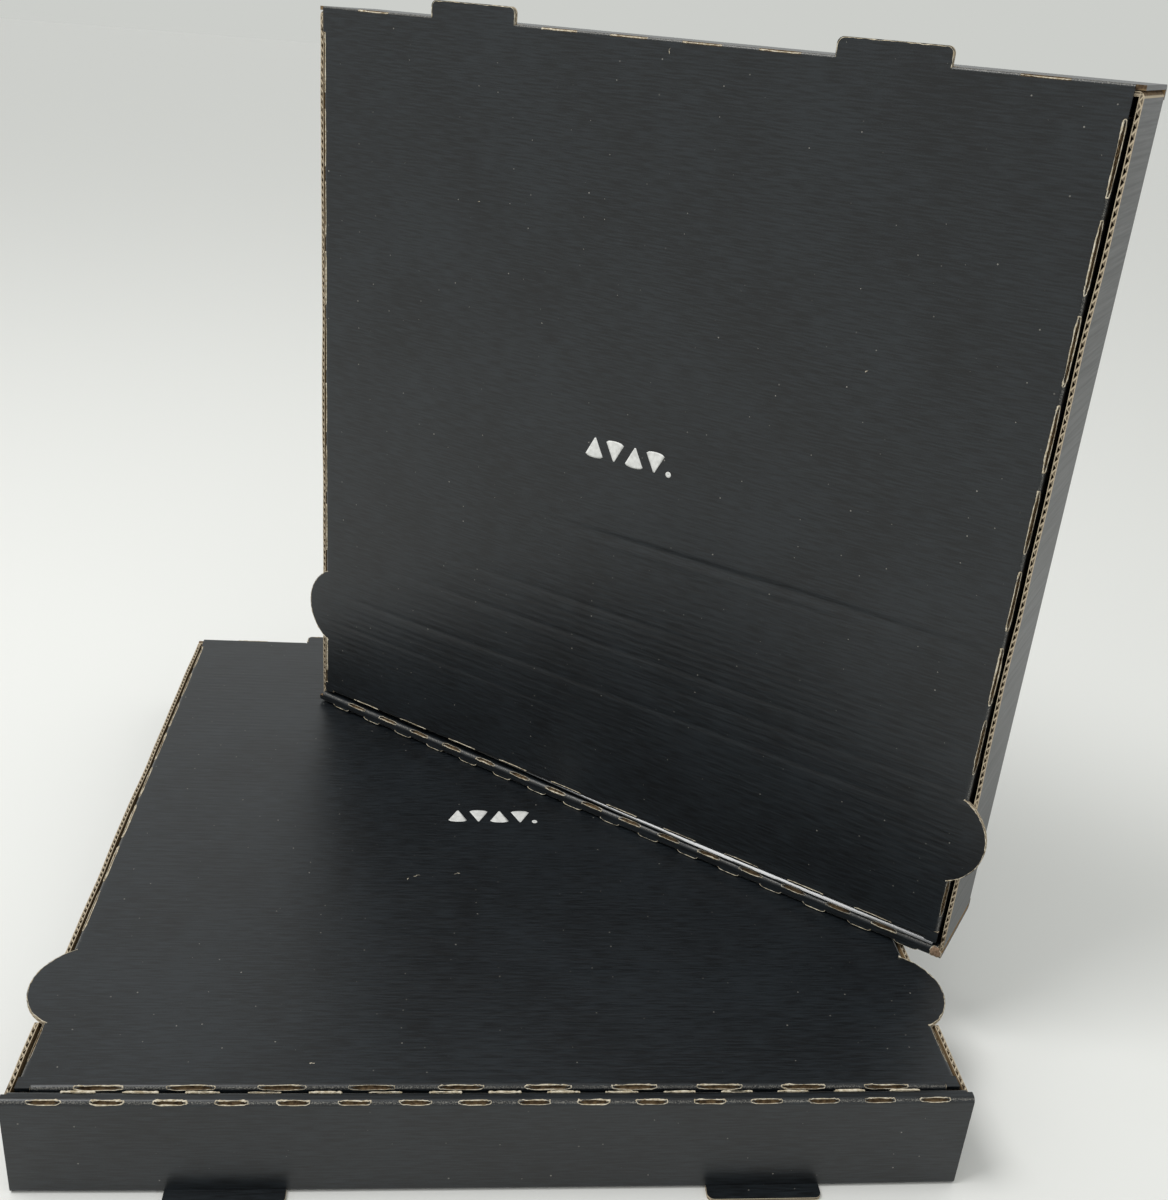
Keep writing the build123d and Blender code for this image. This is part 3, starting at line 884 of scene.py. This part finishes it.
# %% [markdown]
# ## Torn lips round the slits
#
# The folds are cut through by short slits, which open into lens-shaped mouths when the board
# bends. Each mouth has a pale rim of torn liner. A rim is a ring: one parameter runs round the
# lens, the other round a thin uneven tube, and each ring is the same small grid.

# %% Grids of points and their faces
def row_places(count, pitch, middle=0.0):
    """Places evenly spaced about a middle."""
    return middle + (np.arange(count) - (count - 1) / 2) * pitch


def grid_faces(copies, rings, sides, closed_rings=True):
    """Quads of several grids: sides always close round, and rings close where asked."""
    ring, side = np.meshgrid(np.arange(rings - (not closed_rings)), np.arange(sides), indexing="ij")
    next_ring, next_side = (ring + 1) % rings * sides, (side + 1) % sides
    ring = ring * sides
    quads = np.stack((ring + side, next_ring + side, next_ring + next_side, ring + next_side), -1)
    starts = (np.arange(copies) * rings * sides)[:, None, None]
    return (quads.reshape(-1, 4)[None] + starts).reshape(-1, 4)


def bars(points):
    """Closed four-sided bars, from points by bar, ring and side."""
    copies, rings, sides = points.shape[:3]
    starts = (np.arange(copies) * rings * sides)[:, None]
    first = starts + np.arange(sides)
    last = starts + (rings - 1) * sides + np.arange(sides)[::-1]
    faces = np.concatenate((grid_faces(copies, rings, sides, closed_rings=False), first, last))
    return points.reshape(-1, 3), faces


def capped_tube(points, hubs):
    """A tube from points by ring and side, closed at each end by triangles round a hub."""
    rings, sides = points.shape[:2]
    quads = grid_faces(1, rings, sides, closed_rings=False)
    side = np.arange(sides)
    follow = (side + 1) % sides
    hub, base = rings * sides, (rings - 1) * sides
    first = np.stack((np.full(sides, hub), side, follow), -1)
    last = np.stack((np.full(sides, hub + 1), base + follow, base + side), -1)
    faces = np.concatenate((quads[:, [0, 1, 2]], quads[:, [0, 2, 3]], first, last))
    return np.concatenate((points.reshape(-1, 3), hubs)), faces


# %% Rings of torn paper
lip_steps, lip_sides = 56, 6
upper_lip, lower_lip = 0.13, 0.21        # thickness of the rims, as radii
thinnest_lip, thickest_lip = 0.05, 0.5
tooth_pitch, tooth_height = 1.3, 0.17    # small torn teeth of a lower lip
mouth_blunt = 0.55           # power that blunts a mouth's ends
arch_share, lower_share = 0.92, 0.85     # of half a slit's width, for its upper and lower lip
lip_proud = 0.05
mouth_ragged, rim_ragged = 0.12, 0.06    # unevenness along and across a mouth
thickness_ragged, mouth_variety = 0.35, 0.22         # shares: along a rim, and from mouth to mouth


def lips(edge, places, length, seed, radius=fold_radius, width=slit_width, stand=0.0, down=1, weight=1.0):
    """Rims of a row of mouths along an edge, in a box's frame.

    An edge is its corner, the direction out of it and the direction along it. Round the mouth:
    a = L/2 times a blunted cosine along the fold. Across it, b is a low arch on the upper side and
    a nearly straight lip with small teeth on the lower side. The rim's middle lies on the fold's
    round at b, and the tube about it has an uneven radius, scaled by the weight. Stand lifts the
    lower lip off the fold. Down says which side is the lower one.
    """
    corner, out, along = (np.array(part, float) for part in edge)
    out = out / np.linalg.norm(out)
    cross = np.cross(out, along) * -down
    crest = corner - out * (sqrt(2) - 1) * radius
    size = len(places), lip_steps
    turn = np.linspace(0, 2 * np.pi, lip_steps, endpoint=False)
    round_tube = np.linspace(0, 2 * np.pi, lip_sides, endpoint=False)
    cos, sin, bulge = np.cos(turn), np.sin(turn), np.abs(np.sin(turn))
    upper = sin > 0
    a = length / 2 * np.sign(cos) * np.abs(cos) ** mouth_blunt
    a = a + mouth_ragged * torn(size, seed)
    arch = arch_share * width / 2 * bulge**0.8
    teeth = tooth_height * (2 * np.abs((a / tooth_pitch) % 1 - 0.5) - 0.5)
    lower = -lower_share * width / 2 * bulge**0.25 - teeth * (bulge > 0.2)
    b = np.where(upper, arch, lower) + rim_ragged * torn(size, seed + 1)
    fall = radius - np.sqrt(np.maximum(radius**2 - b**2, 0))
    thick = np.where(upper, upper_lip, lower_lip + 0.25 * stand)
    thick = thick * (1 + thickness_ragged * torn(size, seed + 2))
    per_mouth = 1 + mouth_variety * torn((len(places),), seed + 3, runs=0)[:, None]
    thick = np.clip(thick * per_mouth * weight, thinnest_lip, thickest_lip)
    lift = np.where(upper, 0.0, stand * bulge**0.5) - fall + lip_proud
    middle = (
        crest
        + (places[:, None] + a)[..., None] * along
        + b[..., None] * cross
        + lift[..., None] * out
    )
    outwards = 0.3 * cos[:, None] * along + sin[:, None] * cross
    outwards /= np.linalg.norm(outwards, axis=1)[:, None]
    tube = (
        np.cos(round_tube)[None, :, None] * outwards[:, None, :]
        + np.sin(round_tube)[None, :, None] * out
    )
    points = middle[:, :, None, :] + thick[..., None, None] * tube[None]
    return points.reshape(-1, 3), grid_faces(len(places), lip_steps, lip_sides)


# %% Where the slits are
lid_slits = row_places(int(lid_width // lid_slit_pitch), lid_slit_pitch)
window_reach = (tongue_width + lid_slit_length) / 2 + 0.4
back_slits = lid_slits[np.abs(np.abs(lid_slits) - tongue_place) > window_reach]
roll_count = int(2 * tray_half // roll_slit_pitch)
outer_slits = row_places(roll_count, roll_slit_pitch)
inner_slits = row_places(roll_count - 1, roll_slit_pitch)
side_room = flap_back - lid_front - side_slit_start
side_count = int((side_room - side_slit_length) // side_slit_pitch) + 1
side_slits = lid_front + side_slit_start + side_slit_length / 2 + np.arange(side_count) * side_slit_pitch
corner_slit = np.array([lid_front + corner_slit_start + corner_slit_length / 2])
long_slits = (side_slits, side_slit_length), (corner_slit, corner_slit_length)

lid_front_edge = (0, lid_front, box_height), (0, -1, 1), (1, 0, 0)
roll_front_edge = (0, front_face, front_top), (0, -1, 1), (1, 0, 0)
roll_inner_edge = (0, inner_face, front_top), (0, 1, 1), (1, 0, 0)
lower_back_edge = (0, lid_back, box_height), (0, 1, 1), (-1, 0, 0)
upper_back_edge = (0, lid_back, lid_mid), (0, 1, 0), (-1, 0, 0)
print(len(lid_slits), "slits in a lid's front fold,", len(side_slits) + 1, "in each side fold")


# %% Dressing a box with closed parts
def joined(parts):
    """Several (points, faces) as one."""
    starts = np.cumsum([0] + [len(points) for points, _ in parts])
    faces = [some + start for (_, some), start in zip(parts, starts)]
    return np.concatenate([points for points, _ in parts]), np.concatenate(faces)


def turned_outward(points, faces):
    """A closed surface whose faces look outwards.

    Its volume is a sixth of the sum, over its triangles, of the triple product of their corners.
    It is negative where the faces look inwards, and then each face's corners are reversed.
    """
    corner = points[faces]
    volume = sum(
        np.einsum("ij,ij->i", corner[:, 0], np.cross(corner[:, k], corner[:, k + 1])).sum()
        for k in range(1, faces.shape[1] - 1)
    )
    return points, faces if volume > 0 else faces[:, ::-1]


def dress(name, parts, home, material, sharp=None):
    """Closed parts in a box's frame as one piece."""
    points, faces = joined([turned_outward(*part) for part in parts])
    return make_piece(name, points, faces, home, [material], sharp)


def lid_lips(seed, weight=1.0):
    """Rims of all the mouths of a lid's front and side folds."""
    parts = [lips(lid_front_edge, lid_slits, lid_slit_length, seed, weight=weight)]
    for side in (-1, 1):
        edge = (side * lid_half, 0, box_height), (side, 0, 1), (0, side, 0)
        parts += [lips(edge, places * side, length, seed + 7 + side) for places, length in long_slits]
    return parts


def inner_lips(seed, weight, stand):
    """Rims of the inner row of mouths of a roll-over, whose front lips stand up."""
    return lips(
        roll_inner_edge, inner_slits, roll_slit_length, seed, stand=stand, down=-1, weight=weight,
    )


# %% The lips of both boxes
lower_lips = lid_lips(11) + [
    lips(roll_front_edge, outer_slits, roll_slit_length, 17),
    inner_lips(20, weight=1.0, stand=0.45),
    lips(lower_back_edge, back_slits, lid_slit_length, 31),
]
upper_lid_lips = lid_lips(41, weight=0.8) + [
    lips(upper_back_edge, back_slits, lid_slit_length, 33, radius=0.9, width=1.2),
]
dress("lower_box_slit_lips", lower_lips, LOWER, torn_paper)
dress("upper_tray_slit_lips", [inner_lips(26, weight=0.75, stand=0.2)], TRAY, torn_paper)
dress("upper_lid_slit_lips", upper_lid_lips, LID, torn_paper)

# %% [markdown]
# ## The fluting that shows in the long slits
#
# The long slits of a lid's side folds cut across the flutes. Between their lips the fluting
# shows edge on, as a fine zigzag with dark holes. Each one is a square wire that follows a
# triangle wave, just below the lips.

# %% Zigzag in the side slits
zigzag_half = 0.5            # how far the wave swings to each side
zigzag_wire = 0.11
zigzag_depth = 2.2           # how much deeper than wide the wire is
zigzag_sunk = 0.22
zigzag_reach = 0.47          # to each end of the mouth, as a share of its length
zigzag_ragged = 0.08


def zigzags(side, places, length, seed):
    """Fluting in the mouths of one side fold, in a box's frame.

    The wire's middle runs along the fold and swings across it by a triangle wave of the flute
    pitch, which narrows to nothing at the mouth's ends.
    """
    out = np.array((side, 0, 1)) / sqrt(2)
    cross = np.array((side, 0, -1)) / sqrt(2)
    along = np.array((0.0, 1.0, 0.0))
    steps = 2 * int(length // (flute_pitch / 4)) + 1
    run = np.linspace(-zigzag_reach, zigzag_reach, steps) * length
    size = len(places), steps
    spread = torn(size, seed)
    swing = 4 * np.abs(((run[None] + places[:, None]) / flute_pitch) % 1 - 0.5) - 1
    taper = 1 - np.abs(2 * run / length) ** 3
    b = (zigzag_half * swing + zigzag_ragged * spread) * taper
    crest = np.array((side * lid_half, 0, box_height)) - out * ((sqrt(2) - 1) * fold_radius + zigzag_sunk)
    middle = crest + (places[:, None] + run)[..., None] * along + b[..., None] * cross
    thick = zigzag_wire * (1 + 0.25 * torn(size, seed + 1))
    section = np.stack((-zigzag_depth * out, cross, zigzag_depth * out, -cross))
    return bars(middle[:, :, None, :] + thick[..., None, None] * section)


for (lid, home), seed in zip(lids.items(), (61, 81)):
    parts = [
        zigzags(side, places, length, seed + shift + side)
        for side in (-1, 1)
        for (places, length), shift in zip(long_slits, (0, 10))
    ]
    dress(f"{lid}_lid_slit_fluting", parts, home, fluting)

# %% [markdown]
# ## Fibres on the cut edges of tabs
#
# The rule that cuts the half-moon tabs and the rear tongues leaves a pale hair of paper along the
# printed edge, and nicks the lid a little where a cut starts. A path gives the edge, and a thin
# uneven tube along it gives the hair.

# %% Fibres along an edge
fibre_step, fibre_sides = 0.6, 5
fewest_steps = 6
edge_fibre = 0.12            # radius of a hair
fibre_ragged, thinnest_fibre, thickest_fibre = 0.45, 0.35, 2.2       # as shares of that radius
blob_steps = 1.5             # how many steps the swollen end of a hair takes


def fibre(path, seed, blob=0.0, wander=0.07):
    """A thin uneven tube along a path; blob swells its ends, and it strays by the wander.

    The path is first resampled in even steps, by linear interpolation of its length so far. The
    tube's sides turn about the path's own direction, and its radius is uneven.
    """
    path = np.asarray(path, float)
    far_along = np.concatenate(([0], np.cumsum(np.linalg.norm(np.diff(path, axis=0), axis=1))))
    steps = max(int(far_along[-1] / fibre_step), fewest_steps)
    stations = np.linspace(0, far_along[-1], steps)
    middle = np.stack([np.interp(stations, far_along, column) for column in path.T], -1)
    ahead = np.gradient(middle, axis=0)
    ahead /= np.linalg.norm(ahead, axis=1)[:, None]
    cross = np.cross(ahead, upward)
    cross /= np.linalg.norm(cross, axis=1)[:, None]
    up = np.cross(cross, ahead)
    ragged = torn((1, steps), seed, runs=1)[0]
    middle = middle + wander * torn((1, steps), seed + 1)[0][:, None] * cross
    thick = edge_fibre * np.clip(1 + fibre_ragged * ragged, thinnest_fibre, thickest_fibre)
    share = np.linspace(0, 1, steps)
    start_blob, end_blob = (blob * np.exp(-part * steps / blob_steps) for part in (share, 1 - share))
    thick = thick * (1 + start_blob + end_blob)
    turn = np.linspace(0, 2 * np.pi, fibre_sides, endpoint=False)
    ring = np.cos(turn)[:, None, None] * cross + np.sin(turn)[:, None, None] * up
    points = middle[:, None] + thick[:, None, None] * ring.transpose(1, 0, 2)
    return capped_tube(points, np.stack((middle[0], middle[-1])))


# %% Hairs of the half-moons and tongues
nick = 2.2                   # how far a cut runs into the lid
nick_slant = 0.6
edge_inset = 0.25            # so that the hairs stay inside the cut edge


def moon_path(side):
    """The half-moon's edge from nick to nick: a stretch of circle, run on into the lid.

    A chord c and a rise h give the circle's radius, (c^2 / 4 + h^2) / 2h.
    """
    radius = (moon_length**2 / 4 + moon_reach**2) / (2 * moon_reach)
    reach = np.arcsin(moon_length / 2 / radius)
    turn = np.linspace(-reach, reach, 40)
    x = lid_half + moon_reach - edge_inset - radius + radius * np.cos(turn)
    y = moon_middle + radius * np.sin(turn)
    cut = nick / sqrt(2)
    x = np.concatenate(([x[0] - cut], x, [x[-1] - cut]))
    y = np.concatenate(([y[0] - cut * nick_slant], y, [y[-1] + cut * nick_slant]))
    return np.stack((side * x, y, np.full(len(x), box_height)), -1)


def tongue_path(middle):
    """A rear tongue's edge: out from the fold, round two corners, and back."""
    half, end = tongue_width / 2 - edge_inset, lid_back + tongue_reach - edge_inset
    turn = np.linspace(0, np.pi / 2, 7)
    x = np.concatenate(([half], half - tongue_round + tongue_round * np.cos(turn)))
    y = np.concatenate(([lid_back - 0.5], end - tongue_round + tongue_round * np.sin(turn)))
    x, y = np.concatenate((x, -x[::-1])), np.concatenate((y, y[::-1]))
    return np.stack((middle + x, y, np.full(len(x), box_height)), -1)


for (lid, home), seed in zip(lids.items(), (101, 131)):
    parts = []
    for number, side in enumerate((-1, 1)):
        parts.append(fibre(moon_path(side), seed + 5 * number, blob=1.6))
        parts.append(fibre(tongue_path(side * tongue_place), seed + 20 + 5 * number, blob=1.2))
    dress(f"{lid}_lid_edge_fibres", parts, home, torn_paper)

# %% [markdown]
# ## Flat tabs that the slits leave
#
# Between two slits the board turns over the edge in a round. At a slit it was cut instead, so
# that the top strip runs on flat for a moment and ends in a small square tab. The upper box
# stands on the ends of its tabs. Each tab is a thin plate, blunt in plan, that starts inside the
# fold's round and reaches its outer face, where a pale torn edge lies along its tip.

# %% Tabs over the mouths of the roll-over
tab_proud, tab_sunk, tab_thickness = 0.03, 0.05, 0.35
tab_short = 0.12             # from the tabs' tips to the fold's outer face
tab_steps = 24
tab_root = 0.1               # how far the tabs start inside the flat top
tab_ragged = 0.05
tab_edge_reach, tab_edge_steps = 0.93, 20            # share of a tab's half length, and points


def tabs(places, length, seed):
    """Plates over a row of mouths of the outer roll-over fold, in a box's frame.

    Along the tab, u runs from -1 to 1. Its tip lies at the fold's outer face, less what u^8
    takes back to the start of the round, and a small torn unevenness.
    """
    u = np.linspace(-1, 1, tab_steps)
    size = len(places), tab_steps
    taken = u[None] ** 8
    tip = front_face + tab_short + taken * (fold_radius - tab_short - 0.15)
    tip = tip + tab_ragged * np.abs(torn(size, seed)) * (1 - taken)
    start = np.full(size, front_face + fold_radius + tab_root)
    x = places[:, None] + u[None] * length / 2
    section = (
        (start, front_top - tab_sunk),
        (tip, front_top + tab_proud),
        (tip, front_top + tab_proud - tab_thickness),
        (start, front_top - tab_sunk - tab_thickness),
    )
    return bars(np.stack([np.stack((x, y, np.full(size, z)), -1) for y, z in section], -2))


def tab_edges(places, length, seed):
    """Pale torn edges along the tips of the tabs."""
    u = np.linspace(-tab_edge_reach, tab_edge_reach, tab_edge_steps)
    y = front_face + tab_short + edge_fibre + u**8 * (fold_radius - tab_short)
    z = np.full(len(u), front_top + tab_proud)
    return [
        fibre(np.stack((place + u * length / 2, y, z), -1), seed + 3 * number, wander=0.02)
        for number, place in enumerate(places)
    ]


dress("upper_tray_roll_over_tabs", [tabs(outer_slits, roll_slit_length, 301)], TRAY, tab_print, sharp=40)
dress("upper_tray_tab_edges", tab_edges(outer_slits, roll_slit_length, 302), TRAY, torn_paper)

# %% [markdown]
# ## The rubbed end of the roll-over
#
# At one end of the upper box's roll-over the print has come off, and bare liner shows. It is a
# round patch that follows the strip's two rounded edges, with a torn hair about it. Solidify
# gives it a little thickness.

# %% The rubbed end
rubbed_half = (2.3, 2.6)     # across the box, and over the strip
rubbed_inset = 2.4           # from the box's side to the patch's middle
rubbed_proud = 0.05
film_thickness = 0.04        # of bared paper or printed ink
strip_mid = (front_face + inner_face) / 2


def on_strip(x, y):
    """Points on the roll-over: flat on top, and a quarter circle down at both sides."""
    flat_half = (inner_face - front_face) / 2 - fold_radius
    beyond = np.clip(np.abs(y - strip_mid) - flat_half, 0, fold_radius)
    z = front_top - fold_radius + np.sqrt(fold_radius**2 - beyond**2) + rubbed_proud
    return np.stack((x * np.ones_like(z), y, z), -1)


def add_film(piece):
    """Solidify, with the thickness of a film, away from the side that its faces look to."""
    film = piece.modifiers.new("film", "SOLIDIFY")
    film.thickness = film_thickness * mm
    film.offset = -1


rings, turns = 8, 32
turn = np.linspace(0, 2 * np.pi, turns, endpoint=False)
reach = 1 + 0.06 * np.sin(3 * turn + 1) + 0.04 * np.sin(7 * turn)
ring = np.linspace(0.03, 1, rings)[:, None]
patch = on_strip(
    tray_half - rubbed_inset + rubbed_half[0] * ring * reach * np.cos(turn),
    strip_mid + rubbed_half[1] * ring * reach * np.sin(turn),
)
patch_faces = grid_faces(1, rings, turns, closed_rings=False)
add_film(make_piece("upper_tray_rubbed_end", patch.reshape(-1, 3), patch_faces, TRAY, [rubbed_liner]))
patch_rim = np.concatenate((patch[-1], patch[-1, :1]))
dress("upper_tray_rubbed_end_hair", [fibre(patch_rim, 351)], TRAY, torn_paper)

# %% [markdown]
# ## The curled front edge of the upper lid
#
# The upper box stands on its front wall, and its lid has been pressed down at one corner. Below
# the slits its edge curls outwards and catches the light from above as a bright line. It is a
# closed profile carried along the fold, which grows from nothing to its full size.

# %% The curled edge
curl_start, curl_full, curl_end = -100.0, 70.0, lid_half - 1.2
curl_least = 0.12            # size at its start, as a share of the full one
curl_anchor = np.array((0.5, -1.4))      # from the fold's outer corner, inside the board
curl_steps = 140
curl_profile = np.array((                # the same, round the curl at its full size
    (0.35, -0.95), (0.12, -0.55), (-0.18, -0.13), (-0.50, 0.25), (-0.82, 0.58), (-1.02, 0.72),
    (-1.18, 0.72), (-1.29, 0.52), (-1.26, 0.10), (-1.12, -0.50), (-0.75, -1.40), (-0.10, -2.30),
    (0.55, -2.05),
))


def curled_edge():
    """Profile times a size that eases up to 1 along x, about an anchor inside the board."""
    x = np.linspace(curl_start, curl_end, curl_steps)
    size = curl_least + (1 - curl_least) * ease((x - curl_start) / (curl_full - curl_start))
    size = size * (1 + 0.05 * drift(x, 60, 1.5))
    places = curl_anchor + size[:, None, None] * (curl_profile - curl_anchor)
    points = np.empty((curl_steps, len(curl_profile), 3))
    points[..., 0] = x[:, None]
    points[..., 1] = lid_front + places[..., 0]
    points[..., 2] = box_height + places[..., 1]
    return capped_tube(points, np.stack((points[0].mean(0), points[-1].mean(0))))


dress("upper_lid_curled_front_edge", [curled_edge()], LID, burnished_print, sharp=50)

# %% [markdown]
# ## Flecks of torn paper
#
# A few short fibres have come off the lids' face and show as pale flecks.

# %% Flecks
fleck_steps, fleck_bow, fleck_lift = 6, 0.12, 0.02
# across the lid, from the front fold, length, turn in degrees
flecks = {
    "lower": [
        (-35.6, 117.5, 3.0, 25),
        (-18.4, 119.6, 2.6, 20),
        (-39.0, 115.5, 1.2, 70),
        (-67.6, 11.2, 1.6, 20),
    ],
    "upper": [(2.6, 327.0, 2.0, 80), (-80.0, 262.0, 1.0, 10), (96.0, 226.0, 1.1, 50)],
}
for lid, home in lids.items():
    parts = []
    for number, (across, back, length, turn_by) in enumerate(flecks[lid]):
        cos, sin = np.cos(np.radians(turn_by)), np.sin(np.radians(turn_by))
        run = np.linspace(-0.5, 0.5, fleck_steps) * length
        bow = fleck_bow * length * np.sin(run * 3 + number)
        path = np.stack((
            across + run * cos - bow * sin,
            lid_front + back + run * sin + bow * cos,
            np.full(fleck_steps, box_height + fleck_lift),
        ), -1)
        parts.append(fibre(path, 401 + 7 * number))
    dress(f"{lid}_lid_paper_flecks", parts, home, torn_paper)

# %% [markdown]
# ## The printed mark
#
# The lids carry a short white print in their middle. This one is made up: four slices, points
# up and down in turn, and a dot. Each slice is a grid in two parameters, out from its point and
# across its round crust, and Solidify makes it a film of ink that follows the board.

# %% Four slices and a dot
mark_width, mark_height = 41.0, 9.4
mark_places = {"lower": (-2.4, 162.5), "upper": (1.2, 170.4)}    # across, and from the front fold
slice_gap = 1.2
slice_count = 4
slice_crust = 0.12           # how far the crust bulges, as a share of the height
dot_radius = 1.25
ink_proud = 0.05
slice_width = (mark_width - 2 * dot_radius - slice_count * slice_gap) / slice_count


def slice_points(middle, sign):
    """A slice of the mark: out from its point by s, and across by an angle that the crust spans."""
    s = np.linspace(0.06, 1, 14)[:, None]
    across = np.linspace(-1, 1, 9)[None]
    x = across * s * slice_width / 2
    y = s * (1 - slice_crust) + slice_crust * s * np.sqrt(1 - across**2) - 0.5
    return np.stack((middle + x * sign, y * mark_height * sign), -1)


def grid_sheet(places):
    """Points and quads of one open grid."""
    rows, columns = places.shape[:2]
    row, column = np.meshgrid(np.arange(rows - 1), np.arange(columns - 1), indexing="ij")
    start = row * columns + column
    quads = np.stack((start + columns, start + columns + 1, start + 1, start), -1)
    return places.reshape(-1, 2), quads.reshape(-1, 4)


turn = np.linspace(0, 2 * np.pi, 25)
ring = np.linspace(0.08, 1, 4)[:, None] * dot_radius
dot = np.stack((
    mark_width / 2 - dot_radius + ring * np.cos(turn),
    -mark_height / 2 + dot_radius + ring * np.sin(turn),
), -1)
slices = [
    slice_points((slice_width - mark_width) / 2 + number * (slice_width + slice_gap), 2 * (number % 2) - 1)
    for number in range(slice_count)
]
flat, mark_faces = joined([grid_sheet(places) for places in slices + [dot]])
for lid, home in lids.items():
    across, back = mark_places[lid]
    height = np.full(len(flat), box_height + ink_proud)
    places = np.column_stack((flat[:, 0] + across, flat[:, 1] + lid_front + back, height))
    add_film(make_piece(f"{lid}_lid_printed_mark", places, mark_faces, home, [white_ink]))

# %% [markdown]
# ## Floor, light and camera
#
# A pale floor and an even pale room light the boxes from all sides, because the satin print shows
# mostly what it reflects. One broad lamp adds a soft direction. The camera stands where the
# photographer stood: a little left of the middle, half a metre in front, looking down.

# %% Floor and world
floor_colour = "e4e4e1"
room_strength = 0.80
room_colour = "fafcfa"
backdrop_colour = "ccceca"   # what the floor turns to far away
floor_half = 9000.0

floor_mesh = bpy.data.meshes.new("floor")
floor_mesh.from_pydata(
    [(x * floor_half * mm, y * floor_half * mm, 0) for x, y in ((-1, -1), (1, -1), (1, 1), (-1, 1))],
    [], [(0, 1, 2, 3)],
)
floor = add_object("floor", floor_mesh)
floor_paint, tree, shader = new_material(
    "pale_studio_floor", {"Roughness": 0.7, "Base Color": linear(floor_colour)},
)
floor_mesh.materials.append(floor_paint)

world = bpy.data.worlds.new("pale_room")
world.use_nodes = True
tree = world.node_tree
room = tree.nodes["Background"]
feed(tree, room, {"Color": linear(room_colour), "Strength": room_strength})
seen = add_node(tree, "Background", {"Color": linear(backdrop_colour)})
by_camera = add_node(tree, "LightPath", output="Is Camera Ray")
mixed = add_node(tree, "MixShader", {"Fac": by_camera, 1: room.outputs["Background"], 2: seen})
feed(tree, tree.nodes["World Output"], {"Surface": mixed})
bpy.context.scene.world = world

# %% Lamp and camera
lamp_place, lamp_target = Vector((-640, -260, 1480)), Vector((80, 0, 80))
lamp_size, lamp_watts = 560, 12

light = bpy.data.lights.new("soft_key", "AREA")
light.shape = "SQUARE"
light.size = lamp_size * mm
light.energy = lamp_watts
lamp = add_object("soft_key", light)
lamp.location = lamp_place * mm
lamp.rotation_euler = (lamp_target - lamp_place).to_track_quat("-Z", "Y").to_euler()

camera_place = Vector((-24.4, -502.9, 389.4))
camera_right = (0.99398, -0.07757, 0.07737)
camera_up = (-0.03961, 0.40392, 0.91393)
camera_back = (-0.10214, -0.91150, 0.39842)
photo_width, photo_height = 1168, 1200
focal_pixels = 1284.6
centre_pixel = (587.4, 563.3)
sensor = 36.0

camera_data = bpy.data.cameras.new("camera")
camera_data.sensor_width = sensor
camera_data.lens = focal_pixels / photo_height * sensor
camera_data.shift_x = (photo_width / 2 - centre_pixel[0]) / photo_height
camera_data.shift_y = (centre_pixel[1] - photo_height / 2) / photo_height
camera_data.clip_start = 0.01
camera = add_object("camera", camera_data)
turned = Matrix((camera_right, camera_up, camera_back)).transposed().to_4x4()
camera.matrix_world = Matrix.Translation(camera_place * mm) @ turned
bpy.context.scene.camera = camera
bpy.context.scene.view_settings.view_transform = "Standard"
